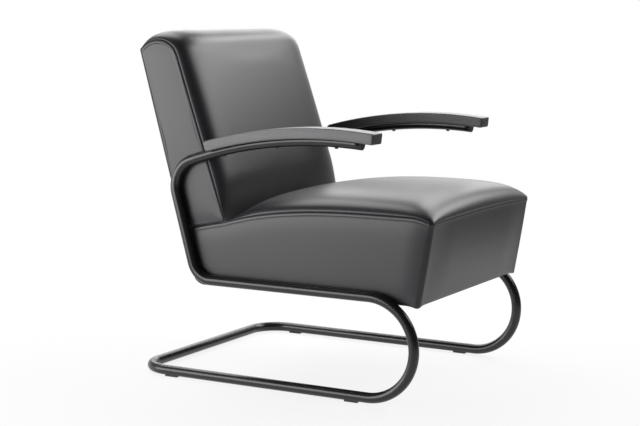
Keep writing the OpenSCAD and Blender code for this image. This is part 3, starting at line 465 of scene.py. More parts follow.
side_points, side_headings = side_path(SIDE_BENDS, (REAR_BEND, FLOOR_Z))
arm_end, arm_heading = side_points[-1], side_headings[-1]
print("stations on a side:", len(side_points), "end of the arm:", arm_end.round(2), arm_heading.round(3))


# %% The swept tube
def swept_ring(centres, first, second, outline):
    """Each ring is its centre plus outline[0] times one direction and outline[1] times the other."""
    wide, high = outline[0][None, :, None], outline[1][None, :, None]
    return centres[:, None] + wide * first[:, None] + high * second[:, None]


def tube_stations():
    """Centres and ring directions from the right arm's end, round the floor, to the left arm's end."""
    radians = np.radians(side_headings)
    across = np.tile([1.0, 0.0, 0.0], (len(radians), 1))
    square = np.stack([np.zeros_like(radians), np.sin(radians), np.cos(radians)], axis=1)
    right = in_frame(TUBE_X, side_points[:, 0], side_points[:, 1])
    corner = np.radians(np.linspace(0, 90, 25))
    swing_x = TUBE_X - REAR_BEND + REAR_BEND * np.cos(corner)
    swing_s = REAR_BEND - REAR_BEND * np.sin(corner)
    bend = in_frame(swing_x, swing_s, FLOOR_Z)
    up = np.tile([0.0, 0.0, 1.0], (len(corner), 1))
    out = np.stack([np.cos(corner), np.sin(corner), np.zeros_like(corner)], axis=1)
    flip = np.array([-1.0, 1.0, 1.0])
    centres = [right[::-1], bend, (bend * flip)[::-1], right * flip]
    firsts = [across[::-1], out, (out * flip)[::-1], -across]
    seconds = [square[::-1], up, up, square]
    return np.vstack(centres), np.vstack(firsts), np.vstack(seconds)


def closed_tube(name, radius=TUBE_R, sides=48):
    """A ring of so many points on a circle, carried along the tube, with a flat disc at each end."""
    centres, first, second = tube_stations()
    keep = np.append(True, np.linalg.norm(np.diff(centres, axis=0), axis=1) > 1e-6)
    centres, first, second = centres[keep], first[keep], second[keep]
    turn = np.linspace(0, 2 * np.pi, sides, endpoint=False)
    circle = np.array([np.cos(turn), np.sin(turn)]) * radius / 1000
    rings = swept_ring(centres, first, second, circle)
    ends = [centres[:1, None] + 0 * rings[:1], centres[-1:, None] + 0 * rings[-1:]]
    points = np.vstack([ends[0], rings, ends[1]])
    piece = mesh_from(name, points, grid_faces(len(points), sides, close_cols=True))
    return merge_and_turn(piece)


tube = closed_tube("bent_tube")
print("tube:", len(tube.data.vertices), "points")

# %% [markdown]
# The ends of the arms are closed with small moulded plugs, a disc with a softly rounded rim.
# A profile turned round the tube's own end direction makes each one.

# %% Tube end plugs
def turned(name, profile, base, axis, side, sides=48):
    """A profile of (distance along the axis, radius) turned round an axis through a base point."""
    axis = np.array(axis) / np.linalg.norm(axis)
    first = np.array([1.0, 0.0, 0.0]) * side
    second = np.cross(axis, first)
    turn = np.linspace(0, 2 * np.pi, sides, endpoint=False)
    centres = np.array(base) + profile[:, :1] * axis / 1000
    radius = profile[:, 1] / 1000
    points = centres[:, None] + radius[:, None, None] * (
        np.cos(turn)[None, :, None] * first + np.sin(turn)[None, :, None] * second
    )
    return merge_and_turn(mesh_from(name, points, grid_faces(len(profile), sides, close_cols=True)))


STEM, STEM_R, RIM_AT, RIM_R = 14.0, 10.2, 1.1, 1.4
rim = np.radians(np.linspace(0, 90, 7))
plug_profile = np.vstack([
    [[-STEM, 0], [-STEM, STEM_R], [-0.2, STEM_R], [0.1, TUBE_R - 0.2], [0.4, TUBE_R], [RIM_AT, TUBE_R]],
    np.stack([RIM_AT + RIM_R * np.sin(rim), TUBE_R - RIM_R + RIM_R * np.cos(rim)], axis=1),
    [[2.7, 8.0], [2.9, 4.0], [2.95, 0]],
])
end_turn = np.radians(arm_heading)
end_way = np.array([0.0, -np.cos(end_turn), np.sin(end_turn)])
plugs = []
for side, word in SIDES:
    base = in_frame(side * TUBE_X, arm_end[0], arm_end[1])
    plugs.append(turned(f"arm_plug_{word}", plug_profile, base, end_way, side))
print("plugs:", [p.name for p in plugs])

# %% [markdown]
# ## The arm pads
# A pad is a bar of wood, bowed with the arm, with eased edges, a round rear end and a groove
# beneath that sits on the tube. Its section is an outline in two numbers, across and out from
# the bow's centre, and the bow carries it round. Towards the ends the outline draws in along
# a quarter circle, which rounds the edges there too.

# %% Arm pads
PAD_W, PAD_T, PAD_LIFT, PAD_EDGE = 50.0, 26.0, 5.5, 3.0
PAD_REAR_R, PAD_FRONT_R = 9.0, 3.0
PAD_START, PAD_AHEAD, GROOVE_STOP = 58.0, 37.0, 35.0
bow_hub = arm_end + BOW_R * np.array([np.sin(end_turn), -np.cos(end_turn)])


def pad_section(corner_points=7, groove_points=13):
    """Outline of the pad's section, across and outwards from the tube's centre: a rectangle
    with quarter circles at its corners, and an arc of the tube's radius as a groove beneath."""
    low, high, wide = PAD_LIFT, PAD_LIFT + PAD_T, PAD_W / 2
    quarter = np.radians(np.linspace(0, 90, corner_points))

    def corner(across, out, start):
        angle = quarter + np.radians(start)
        return np.stack([across + PAD_EDGE * np.cos(angle), out + PAD_EDGE * np.sin(angle)], axis=1)

    inner, outer, floor = wide - PAD_EDGE, high - PAD_EDGE, low + PAD_EDGE
    groove_r = TUBE_R + 0.15
    reach = np.arccos(low / groove_r)
    swing = np.linspace(-reach, reach, groove_points)
    groove = np.stack([groove_r * np.sin(swing), groove_r * np.cos(swing)], axis=1)
    shares = np.linspace(0.2, 0.8, 4)[:, None]
    right_side = np.hstack([np.full((4, 1), wide), floor + shares * (outer - floor)])
    top_line = np.stack([np.linspace(inner - 4, 4 - inner, 9), np.full(9, high)], axis=1)
    return np.vstack([
        right_side, corner(inner, outer, 0), top_line, corner(-inner, outer, 90),
        right_side[::-1] * [-1, 1], corner(-inner, floor, 180), groove, corner(inner, floor, 270),
    ])


def rounding(distance, radius):
    """How far a quarter circle draws an outline in, at a distance from its end."""
    return radius - np.sqrt(radius**2 - np.maximum(0, radius - distance) ** 2)


def arm_pad(name, side):
    """The section carried along the bow. At each end a quarter circle draws the outline in: by
    PAD_REAR_R above and below at the rear, and by PAD_FRONT_R everywhere else. The groove runs
    out just past the tube's end."""
    section = pad_section()
    start = 90 + ARM_RISE - np.degrees(PAD_START / BOW_R)
    finish = 90 + arm_heading - np.degrees(PAD_AHEAD / BOW_R)
    length = np.radians(start - finish) * BOW_R
    rear = PAD_REAR_R * (1 - np.cos(np.radians(np.linspace(0, 90, 12))))
    front = PAD_FRONT_R * (1 - np.cos(np.radians(np.linspace(0, 90, 7))))
    on_tube = np.linspace(PAD_REAR_R + 5, length - GROOVE_STOP - 3, 66)
    past_tube = np.linspace(length - GROOVE_STOP + 2, length - 2 * PAD_FRONT_R, 8)
    run = np.concatenate([rear, on_tube, past_tube, (length - front)[::-1]])
    front_inset = rounding(length - run, PAD_FRONT_R)
    inset = rounding(run, PAD_REAR_R) + front_inset
    side_inset = rounding(run, PAD_FRONT_R) + front_inset
    middle = PAD_LIFT + PAD_T / 2
    in_groove = (np.abs(section[:, 0]) < TUBE_R) & (section[:, 1] < middle)
    stopped = in_groove[None, :] & (run > length - GROOVE_STOP)[:, None]
    kept = np.where(stopped, PAD_LIFT, section[:, 1][None, :])
    out = middle + (kept - middle) * (1 - inset / (PAD_T / 2))[:, None]
    across = section[:, 0] * (1 - side_inset / (PAD_W / 2))[:, None]
    angle = np.radians(start - np.degrees(run / BOW_R))[:, None]
    s = bow_hub[0] + (BOW_R + out) * np.cos(angle)
    z = bow_hub[1] + (BOW_R + out) * np.sin(angle)
    points = in_frame(side * (TUBE_X + across), s, z)
    caps = [np.broadcast_to(points[i].mean(axis=0), points[i].shape)[None] for i in (0, -1)]
    points = np.vstack([caps[0], points, caps[1]])
    return merge_and_turn(mesh_from(name, points, grid_faces(*points.shape[:2], close_cols=True)))


pads = [arm_pad(f"wood_pad_{word}", side) for side, word in SIDES]
print("pads:", [len(p.data.vertices) for p in pads])

# %% [markdown]
# ## Outlines of the seat and the back
# Both bodies are side outlines carried across the chair. The functions here give the seams in
# the side view, and how far each panel swells between its seams: a dome across the chair,
# and a shoulder or a tail where the swelling dies down towards an edge.

# %% Seams in the side view
SEAM_H, PEAK_S, FRONT_H = 441.6, 720.0, 431.3
REAR_POWER, FRONT_POWER = 3.18, 3.14
FRONT_SLANT = 9.6
CROWN, CORNER_R, BULGE = 43.0, 12.0, 3.0
SEAT_DOME, BACK_DOME = (0.78, 7), (0.85, 10)


def seam_z(s):
    """Side seam of the seat: a power of the distance from its highest point, each way."""
    rear_share = np.maximum(0, PEAK_S - s) / (PEAK_S - JOINT_S)
    front_share = np.maximum(0, s - PEAK_S) / (SEAT_REACH - PEAK_S)
    rear = SEAM_H - (SEAM_H - JOINT_H) * rear_share**REAR_POWER
    front = SEAM_H - (SEAM_H - FRONT_H) * front_share**FRONT_POWER
    return np.where(s < JOINT_S, joint_z(s), np.where(s < PEAK_S, rear, front))


def dome(u, shape):
    """Swelling across the chair: a share of a rounded box of some power, and the rest a parabola."""
    share, power = shape
    return share * np.sqrt(np.maximum(0, 1 - np.abs(u) ** power)) + (1 - share) * (1 - u * u)


def shoulder(d, reach=180.0):
    """A steep rise from an edge: the root of one minus a cube."""
    return np.sqrt(np.maximum(0, 1 - np.maximum(0, 1 - d / reach) ** 3))


def tail(d, reach=100.0):
    """A gentle rise from an edge: a quarter of a sine."""
    return np.sin(np.radians(90) * np.clip(d / reach, 0, 1))


def swell(d, reach=24.0):
    """Swelling of a panel at a distance d from its seam: one minus a cube."""
    return 1 - (1 - np.clip(d / reach, 0, 1)) ** 3


seam_at = np.array([JOINT_S, PEAK_S, SEAT_REACH])
print("side seam at the joint, its peak and the front:", seam_z(seam_at).round(1))

# %% [markdown]
# ## Seams
# Where two panels are sewn, both edges roll in, so a fine groove runs between them. The seam
# allowances are folded under the band and held by a line of stitches about a centimetre away,
# which makes a low flat ridge beside the groove. The relief is a function of the distance
# from the seam, added along the surface's normals, and the grid has close lines there.

# %% Seam relief
STITCH_AT = 9.5
NEAR_SEAM = np.array([
    0, 0.35, 0.8, 1.3, 1.9, 2.6, 3.6, 5, 6.6, 7.9, 8.6,
    9.1, 9.5, 9.9, 10.4, 11.1, 12.4, 14.5, 18, 22.5, 28, 35,
])


def groove(d, depth=1.1, width=1.3):
    """The rolled edge: a bell that sinks to its full depth at the seam."""
    return -depth * np.exp(-((d / width) ** 2))


def allowance(d, height=0.7):
    """The ridge over the folded allowances: it rises softly 2.6 mm from the seam, ends 1 mm past
    the stitches, and a bell of 0.8 mm sinks it along them."""
    rise = 1 / (1 + np.exp(-(d - 2.6) * 1.4))
    fall = 1 / (1 + np.exp((d - STITCH_AT - 1.0) * 1.8))
    return height * rise * fall - 0.8 * np.exp(-(((d - STITCH_AT) / 0.8) ** 2))


def along_seams(length, step, near=NEAR_SEAM, both=True):
    """Distances from one seam to the other: close lines at the seams, even steps between."""
    last = near[-1]
    count = max(2, int(np.ceil((length - (2 if both else 1) * last) / step)))
    if both:
        middle = np.linspace(last, length - last, count + 1)[1:-1]
        return np.concatenate([near, middle, (length - near)[::-1]])
    return np.concatenate([near, np.linspace(last, length, count + 1)[1:]])


def even_steps(value, height, wanted):
    """Values of a parameter at which a curve of (value, height) has the wanted lengths."""
    lengths = np.append(0, np.cumsum(np.hypot(np.diff(value), np.diff(height))))
    return np.interp(wanted, lengths, value)


def curve_length(value, height):
    """Length of a curve given by dense points."""
    return float(np.sum(np.hypot(np.diff(value), np.diff(height))))


print("relief at the seam and at the stitches:", np.round([groove(0.0), allowance(STITCH_AT)], 2), "mm")

# %% [markdown]
# ## Panels of leather
# Each panel is a function of two parameters that gives its points, so one function can be
# asked for a fine grid, which shows, and for a coarse one, which a cloth simulation swells.
# The seat's top panel runs from 6 mm under the back to the front seam, and from side to side.

# %% The seat's top panel
DRAWN_IN = 62.0
FRONT_RISE, RISE_REACH = 6.0, 150.0
TUCKED = 6.0
BACK_RISE = 30.0
SEAT_HUB = in_frame(0, 470, 330)


def seat_top(front, side_u):
    """Points of the top panel, from the distance behind the front seam and the share across:
    the side seam's height, plus the crown times shoulder, tail and dome, plus the front rise."""
    d, u = front[:, None], side_u[None, :]
    s = SEAT_REACH - d
    lift = CROWN * shoulder(d) * tail(s - JOINT_S) * dome(u, SEAT_DOME)
    rise = FRONT_RISE * np.maximum(0, 1 - d / RISE_REACH) * (1 - u * u)
    near_side = 1 - np.minimum((1 - np.abs(u)) * HALF_W / CORNER_R, 1)
    draw = 1 - np.sqrt(1 - near_side**2)
    s_drawn = s - CORNER_R * np.maximum(0, 1 - d / DRAWN_IN) * draw
    return in_frame(u * HALF_W, s_drawn, seam_z(s) + lift + rise)


def across_shares(step, rise, shape, near=NEAR_SEAM):
    """Shares across the chair at even lengths along the dome, and the distances from the side seams."""
    fine = np.linspace(0, 1, 6001) ** 2
    inset, height = fine * HALF_W, rise * dome(1 - fine, shape)
    wanted = along_seams(curve_length(inset, height), step, near, both=False)
    u = 1 - even_steps(inset, height, wanted) / HALF_W
    return np.concatenate([-u[:-1], [0.0], u[:-1][::-1]]), np.concatenate([wanted, wanted[:-1][::-1]])


def front_distances(step, reach, near=NEAR_SEAM):
    """Distances behind the front seam at even lengths along the shoulder, and those lengths."""
    fine = np.linspace(0, reach, 9001)
    height = CROWN * shoulder(fine)
    wanted = along_seams(curve_length(fine, height), step, near, both=False)
    return even_steps(fine, height, wanted), wanted


top_front, top_front_d = front_distances(8.0, SEAT_REACH - JOINT_S + TUCKED)
top_u, top_side_d = across_shares(8.0, CROWN, SEAT_DOME)
back_u, back_side_d = across_shares(8.0, BACK_RISE, BACK_DOME)
print("seat top grid:", len(top_front), "by", len(top_u))

# %% [markdown]
# The band is one long strip. It starts at the rear of the left side, goes round the front
# corner, across the front, round the other corner and back along the right side, with no
# seam in its length. The place along the strip gives a top point on the seam, a bottom point
# and the way outwards; the band runs straight from one to the other, swells in between, and
# rolls under at the bottom.

# %% The path of the seat's band
SIDE_RUN = SEAT_REACH - CORNER_R - JOINT_REAR[0]
CORNER_RUN = CORNER_R * np.pi / 2
FRONT_RUN = 2 * (HALF_W - CORNER_R)
BAND_RUN = 2 * (SIDE_RUN + CORNER_RUN) + FRONT_RUN
HEEL_TOP, HEEL_END, HEEL_RUN = 262.0, 185.0, 30.0
TIP_DROP, TIP_WIDTH = 4.5, 17.0


def heel_curve(t):
    """Bottom rear corner of the seat: a quadratic curve from the rear face to the underside."""
    t = np.asarray(t, float)[..., None]
    first = np.array([back_rear_s(HEEL_TOP), HEEL_TOP])
    corner = np.array([back_rear_s(SEAT_LOW), SEAT_LOW])
    last = np.array([HEEL_END, SEAT_LOW])
    return (1 - t) ** 2 * first + 2 * t * (1 - t) * corner + t**2 * last


def smooth(x):
    """Goes from 0 to 1 with level ends."""
    x = np.clip(x, 0, 1)
    return x * x * (3 - 2 * x)


def band_edges(w):
    """Top and bottom points (x, s, z) of the strip at the run w, and the level way outwards. At
    the front corner the bottom dips by a bell, TIP_DROP deep."""
    run, side = np.minimum(w, BAND_RUN - w), np.where(w < BAND_RUN / 2, -1.0, 1.0)
    turn = np.clip((run - SIDE_RUN) / CORNER_R, 0, np.pi / 2)
    level = np.maximum(0, run - SIDE_RUN - CORNER_RUN)
    x = HALF_W - CORNER_R + CORNER_R * np.cos(turn) - level
    s_top = np.where(run < SIDE_RUN, JOINT_REAR[0] + run, SEAT_REACH - CORNER_R + CORNER_R * np.sin(turn))
    pull = CORNER_R / DRAWN_IN
    row = np.where(s_top > SEAT_REACH - DRAWN_IN, (s_top + CORNER_R - pull * SEAT_REACH) / (1 - pull), s_top)
    z_top = np.where(run < SIDE_RUN, seam_z(row), FRONT_H + FRONT_RISE * (1 - (x / HALF_W) ** 2))
    heel = heel_curve(np.clip(run / HEEL_RUN, 0, 1))
    toe = SEAT_REACH - (FRONT_H - SEAT_LOW) * tan(FRONT_SLANT)
    share = np.clip((run - HEEL_RUN) / (SIDE_RUN - HEEL_RUN), 0, 1)
    s_low = heel[:, 0] + (toe - CORNER_R - heel[:, 0]) * share + CORNER_R * np.sin(turn)
    top = np.stack([side * x, s_top, z_top], axis=1)
    dip = TIP_DROP * np.exp(-(((run - SIDE_RUN - CORNER_RUN / 2) / TIP_WIDTH) ** 2))
    low = np.stack([side * x, s_low, heel[:, 1] - dip], axis=1)
    out = np.stack([side * np.cos(turn), np.sin(turn), np.zeros_like(turn)], axis=1)
    return top, low, out, run


print("band:", round(BAND_RUN, 1), "mm long")

# %% [markdown]
# The band swells a little over its boards, less near its seams, and is drawn in round the
# front corner, where it turns tightly. Its lower edge rolls under the seat, where the real one
# is stapled to the boards.

# %% The seat's band
HEM_R = 4.0
SIDE_SINK, SINK_FROM = 5.0, 50.0


def band_swell(down, length, run, x):
    """Side: a swelling that dies down at the seams, and sinks from 50 mm before the corner on.
    Front: half a sine wave. The corner blends one into the other."""
    near_corner = np.clip((run - SIDE_RUN + SINK_FROM) / (SINK_FROM + CORNER_RUN), 0, 1) ** 2
    held = swell(down, 60) * swell(length - down, 60) * swell(run, 40.0)
    side = held * (BULGE - (BULGE + SIDE_SINK) * near_corner)
    inwards = smooth((HALF_W - CORNER_R - np.abs(x)) / 120)
    front = np.sin(np.pi * np.clip(down / length, 0, 1)) * (1.0 + 5.0 * inwards)
    return side + (front - side) * smooth((run - SIDE_RUN) / CORNER_RUN)


def seat_band(w, count=18):
    """Rows: close lines under the seam, even shares down the panel, then a quarter circle of
    HEM_R and a short turn under. Columns: the runs w. Gives the points and how far down each is."""
    top, low, out, run = band_edges(w)
    length = np.linalg.norm(low - top, axis=1)
    flat_end = length - HEM_R
    shares = np.linspace(0, 1, count + 1)[1:, None]
    roll = np.radians(np.linspace(0, 90, 8))[1:]
    down = np.vstack([
        np.tile(NEAR_SEAM[:, None], (1, len(w))),
        NEAR_SEAM[-1] + shares * (flat_end - NEAR_SEAM[-1]),
        flat_end + HEM_R * np.sin(roll)[:, None],
        length[None],
        length[None],
    ])
    flat = np.zeros(len(NEAR_SEAM) + count)
    inward = np.concatenate([flat, HEM_R * (1 - np.cos(roll)), [HEM_R + 3.0, HEM_R + 8.0]])
    offset = band_swell(down, length, run, top[:, 0]) - inward[:, None]
    points = top[None] + (low - top)[None] * (down / length)[..., None] + out[None] * offset[..., None]
    return in_frame(points[..., 0], points[..., 1], points[..., 2]), down


side_w = along_seams(SIDE_RUN, 8.0, both=False)[:-1]
side_w = side_w[(side_w < SIDE_RUN - 26) | (side_w >= SIDE_RUN - 24)]
round_w = np.concatenate([
    np.linspace(-24, 0, 7), np.linspace(0, CORNER_RUN, 15)[1:], CORNER_RUN + np.linspace(0, 40, 11)[1:],
])
half_w = np.unique(np.round(np.concatenate([side_w, SIDE_RUN + round_w]), 4))
front_w = np.linspace(half_w[-1], BAND_RUN - half_w[-1], 60)[1:-1]
band_w = np.concatenate([half_w, front_w, (BAND_RUN - half_w)[::-1]])
print("columns of the band:", len(band_w))

# %% [markdown]
# The back's side outline goes up the front seam, over a round top and down the rear face. The
# kink where the front seam meets the round top is eased by averaging points over a few
# centimetres, as padding would. The front panel follows the outline as far as the seam along
# the rear of the top, and swells by a dome across the chair. The round top is an arc about
# TOP_HUB that reaches TOP_HALF_ARC degrees each way, and its chord rises forwards by TOP_TILT
# degrees.

# %% The back's outline
BACK_REAR_H, BACK_FRONT_H = 807.0, 814.0
BACK_LOW_FRONT, BACK_LOW_REAR = np.array([242.426, 396.285]), np.array([119.807, 370.221])
TOP_HUB, TOP_R = np.array([51.3344, 762.255]), 70.3583
TOP_HALF_ARC, TOP_TILT = 46.5821, 3.92702
EASE_STEP, EASE_WIDTH, KINK_REACH = 0.5, 13.0, 34.0
BACK_FRONT_TOP = np.array([back_front_s(BACK_FRONT_H), BACK_FRONT_H])
BACK_REAR_TOP = np.array([back_rear_s(BACK_REAR_H), BACK_REAR_H])
FRONT_LINE = float(np.linalg.norm(BACK_FRONT_TOP - BACK_LOW_FRONT))
TOP_ARC = float(np.radians(2 * TOP_HALF_ARC) * TOP_R)
FRONT_LENGTH = FRONT_LINE + TOP_ARC


def raw_outline(t):
    """Point at length t: along the front line, then round the arc over the top."""
    line = BACK_LOW_FRONT + (BACK_FRONT_TOP - BACK_LOW_FRONT) * (t / FRONT_LINE)[:, None]
    angle = np.radians(90 + TOP_TILT - TOP_HALF_ARC) + (t - FRONT_LINE) / TOP_R
    arc = TOP_HUB + TOP_R * np.stack([np.cos(angle), np.sin(angle)], axis=1)
    return np.where((t < FRONT_LINE)[:, None], line, arc)


dense_t = np.arange(0, FRONT_LENGTH + EASE_STEP / 2, EASE_STEP)
dense_outline = raw_outline(dense_t)
bell = np.exp(-0.5 * (np.arange(-80, 81) * EASE_STEP / EASE_WIDTH) ** 2)
eased = np.stack([np.convolve(dense_outline[:, k], bell / bell.sum(), "same") for k in (0, 1)], axis=1)
near_kink = np.exp(-(((dense_t - FRONT_LINE) / KINK_REACH) ** 4))[:, None]
dense_outline = dense_outline + (eased - dense_outline) * near_kink
dense_way = np.gradient(dense_outline, axis=0)
dense_normal = np.stack([dense_way[:, 1], -dense_way[:, 0]], axis=1)
dense_normal /= np.linalg.norm(dense_normal, axis=1, keepdims=True)
rear_normal = -np.array([np.cos(np.radians(REAR_LEAN)), np.sin(np.radians(REAR_LEAN))])
top_seam_normal = dense_normal[-1] + rear_normal
top_seam_normal /= np.linalg.norm(top_seam_normal)


def on_outline(t):
    """Points and normals of the eased outline at lengths t. In the last 24 mm before the rear
    seam the normal turns to the seam's own."""
    point = np.stack([np.interp(t, dense_t, dense_outline[:, k]) for k in (0, 1)], axis=1)
    normal = np.stack([np.interp(t, dense_t, dense_normal[:, k]) for k in (0, 1)], axis=1)
    share = smooth(1 - (FRONT_LENGTH - t) / 24.0)[:, None]
    normal = normal + (top_seam_normal - normal) * share
    return point, normal / np.linalg.norm(normal, axis=1, keepdims=True)


print("back outline:", round(FRONT_LINE, 1), "mm up and", round(TOP_ARC, 1), "mm over the top")

# %% [markdown]
# Three panels follow these lines across the chair. The front panel swells most above the seat,
# a little less over the top, and hardly at all at the seam behind it. The two rear panels lie
# on boards, so they are nearly flat.

# %% The back's front and rear, and the seat's rear
FRONT_SWELL, TOP_SWELL, REAR_SWELL = 33.0, 25.0, 2.5
SEAT_REAR_SWELL, HEEL_SHARE = 2.0, 0.72


def front_swell(t):
    """FRONT_SWELL above a tail at the joint, TOP_SWELL over the top, REAR_SWELL at the rear seam."""
    a = np.clip((t - FRONT_LINE) / TOP_ARC, 0, 1)
    rise = FRONT_SWELL * tail(t, 115.0) + (TOP_SWELL - FRONT_SWELL) * np.sin(np.pi * np.minimum(a, 0.5))
    return rise - (TOP_SWELL - REAR_SWELL) * np.maximum(0, 2 * a - 1) ** 2


def raised(point, normal, rise, u):
    """Points of a panel across the chair: an outline's points plus its normals times the rise."""
    s = point[:, :1] + normal[..., :1] * rise
    z = point[:, 1:] + normal[..., 1:] * rise
    return in_frame(u[None, :] * HALF_W, s, z)


def back_front(t, u):
    """Points of the front panel: the outline plus its normal times swell and dome."""
    point, normal = on_outline(t)
    return raised(point, normal, front_swell(t)[:, None] * dome(u, BACK_DOME)[None, :], u)


def back_rear(a, u):
    """Points of the rear panel at shares a down the rear face: a slight swell that runs out."""
    point = BACK_REAR_TOP + (BACK_LOW_REAR - BACK_REAR_TOP) * a[:, None]
    share = smooth(1 - a * 20.0)[:, None]
    normal = rear_normal + (top_seam_normal - rear_normal) * share
    normal /= np.linalg.norm(normal, axis=1, keepdims=True)
    return raised(point, normal, REAR_SWELL * (1 - a**3)[:, None] * dome(u, BACK_DOME)[None, :], u)


def seat_rear(a, u):
    """Points of the seat's rear panel: down the rear face, then round the heel. It swells by
    half a sine wave that ends before the heel does."""
    z = JOINT_REAR[1] - (JOINT_REAR[1] - HEEL_TOP) * np.clip(a / HEEL_SHARE, 0, 1)
    face = np.stack([back_rear_s(z), z], axis=1)
    heel = heel_curve(np.clip((a - HEEL_SHARE) / (1 - HEEL_SHARE), 0, 1))
    point = np.where((a < HEEL_SHARE)[:, None], face, heel)
    rise = SEAT_REAR_SWELL * np.sin(np.pi * np.clip(a / 0.9, 0, 1))[:, None] * dome(u, BACK_DOME)[None, :]
    return raised(point, rear_normal[None, :], rise, u)


print("swell of the back at mid height:", front_swell(np.array([FRONT_LINE / 2])).round(1), "mm")

# %% [markdown]
# A side panel of the back is sewn all round to the other panels. Rings of its outline shrink
# towards a hub, with close rings at the seam. How far a point bulges depends on its true
# distance from the outline, found as the least distance to any of the outline's points.

# %% The back's side panels
BACK_HUB = np.array([108.0, 600.0])
BACK_MID = in_frame(0, 90, 600)


def side_outline():
    """The closed outline: front line and top, rear face downwards, and the joint to the front."""
    front = on_outline(np.linspace(0, FRONT_LENGTH, int(FRONT_LENGTH) // 4))[0]
    rear = BACK_REAR_TOP + (BACK_LOW_REAR - BACK_REAR_TOP) * np.linspace(0, 1, 112)[1:, None]
    joint = BACK_LOW_REAR + (BACK_LOW_FRONT - BACK_LOW_REAR) * np.linspace(0, 1, 32)[1:-1, None]
    return np.vstack([front, rear, joint])


def distance_to(points, outline):
    """Least distance from each point to the pieces of a closed outline."""
    start, way = outline, np.roll(outline, -1, axis=0) - outline
    gap = points[..., None, :] - start
    share = np.clip(np.sum(gap * way, axis=-1) / np.sum(way * way, axis=-1), 0, 1)
    return np.sqrt(np.min(np.sum((gap - share[..., None] * way) ** 2, axis=-1), axis=-1))


def back_side(side, inner=9):
    """Points of a side panel, in rings from the seam to the hub: it bulges by a swelling and by
    the seam's relief, both at the true distance from the seam."""
    outline = side_outline()
    reach = np.linalg.norm(outline - BACK_HUB, axis=1)
    shares = np.linspace(0, 1, inner + 1)[1:, None]
    close = np.tile(NEAR_SEAM[:, None], (1, len(reach)))
    rings = np.vstack([close, NEAR_SEAM[-1] + shares * (reach - NEAR_SEAM[-1])])
    points = BACK_HUB + (outline - BACK_HUB) * (1 - rings / reach)[..., None]
    d = distance_to(points, outline)
    x = side * (HALF_W + BULGE * swell(d, 60) + allowance(d) + groove(d))
    return in_frame(x, points[..., 0], points[..., 1])


print("side panel outline:", side_outline().shape[0], "points")

# %% [markdown]
# ## Swelling the leather
# Leather that is pulled over foam swells between its seams. It shows most on the seat's top
# and on the back's front, so a coarse grid of each is made a cloth that is held at its seams,
# pushed outwards by a little pressure with gravity off, and stepped through 20 frames. Fine
# creases that padding fills in a real cushion are left out: the moves are fitted with broad
# sine waves, and the fine grid gets those.

# %% Cloth simulation
COARSE = np.array([0.0, 6.0, 13.0, 21.0, 30.0])
PRESSURE, SWELL_CAP = 2.0, 3.0


def swollen(name, points, hub):
    """How far each point of a grid moves outwards, in millimetres, when a held cloth is blown out."""
    rows, cols = points.shape[:2]
    cloth = face_away(mesh_from(name, points, grid_faces(rows, cols)), hub)
    rim = np.zeros((rows, cols), bool)
    rim[0], rim[-1], rim[:, 0], rim[:, -1] = True, True, True, True
    held = cloth.vertex_groups.new(name="held")
    held.add(np.flatnonzero(rim.ravel()).tolist(), 1.0, "REPLACE")
    fabric = cloth.modifiers.new("cloth", "CLOTH")
    fabric.settings.quality = 6
    fabric.settings.mass = 0.4
    fabric.settings.tension_stiffness = 30.0
    fabric.settings.compression_stiffness = 30.0
    fabric.settings.shear_stiffness = 12.0
    fabric.settings.bending_stiffness = 4.0
    fabric.settings.use_pressure = True
    fabric.settings.uniform_pressure_force = PRESSURE
    fabric.settings.vertex_group_mass = "held"
    fabric.settings.effector_weights.gravity = 0.0
    fabric.point_cache.frame_start, fabric.point_cache.frame_end = 1, 20
    for step in range(1, 21):
        bpy.context.scene.frame_set(step)
    seen = cloth.evaluated_get(bpy.context.evaluated_depsgraph_get()).data
    after = np.empty(rows * cols * 3)
    seen.vertices.foreach_get("co", after)
    bpy.context.scene.frame_set(1)
    bpy.data.objects.remove(cloth)
    return 1000 * np.sum((after.reshape(points.shape) - points) * grid_normals(points, hub), axis=-1)


def waves(share, count=3):
    """sin(k * pi * share) for k from 1 to count, a column for each."""
    return np.sin(np.pi * np.outer(share, np.arange(1, count + 1)))


def broad_part(move, rows, cols, fine_rows, fine_cols):
    """Least squares finds the weights W for which waves(rows) W waves(cols)' is closest to the
    moves. The fine grid gets those waves, and a swelling m is capped as cap * tanh(m / cap)."""
    weights = np.linalg.pinv(waves(rows)) @ move @ np.linalg.pinv(waves(cols)).T
    swelling = SWELL_CAP * np.tanh(waves(fine_rows) @ weights @ waves(fine_cols).T / SWELL_CAP)
    print(f"swelling {swelling.mean():.1f} mm on average, {swelling.min():.1f} to {swelling.max():.1f}")
    return swelling


# %% [markdown]
# ## Making the panels
# A panel's fine points are its own surface, moved along its normals by the swelling and the
# seam's relief. A Solidify modifier gives the leather its thickness inwards.

# %% Panel maker
LEATHER_T = 0.0016


def panel(name, points, hub, finish="leather", thick=LEATHER_T, rings=False):
    """A smooth grid with a thickness on its inner side. Rings close, and end in one point."""
    piece = mesh_from(name, points, grid_faces(*points.shape[:2], close_cols=rings))
    if rings:
        merge_and_turn(piece, turn=False)
    face_away(piece, hub)
    piece.data.materials.append(finishes[finish])
    solidify = piece.modifiers.new("thickness", "SOLIDIFY")
    solidify.thickness, solidify.offset = thick, -1.0
    return piece


def relief(points, hub, height):
    """Points moved along their normals by a height in millimetres."""
    return points + grid_normals(points, hub) * (height / 1000)[..., None]


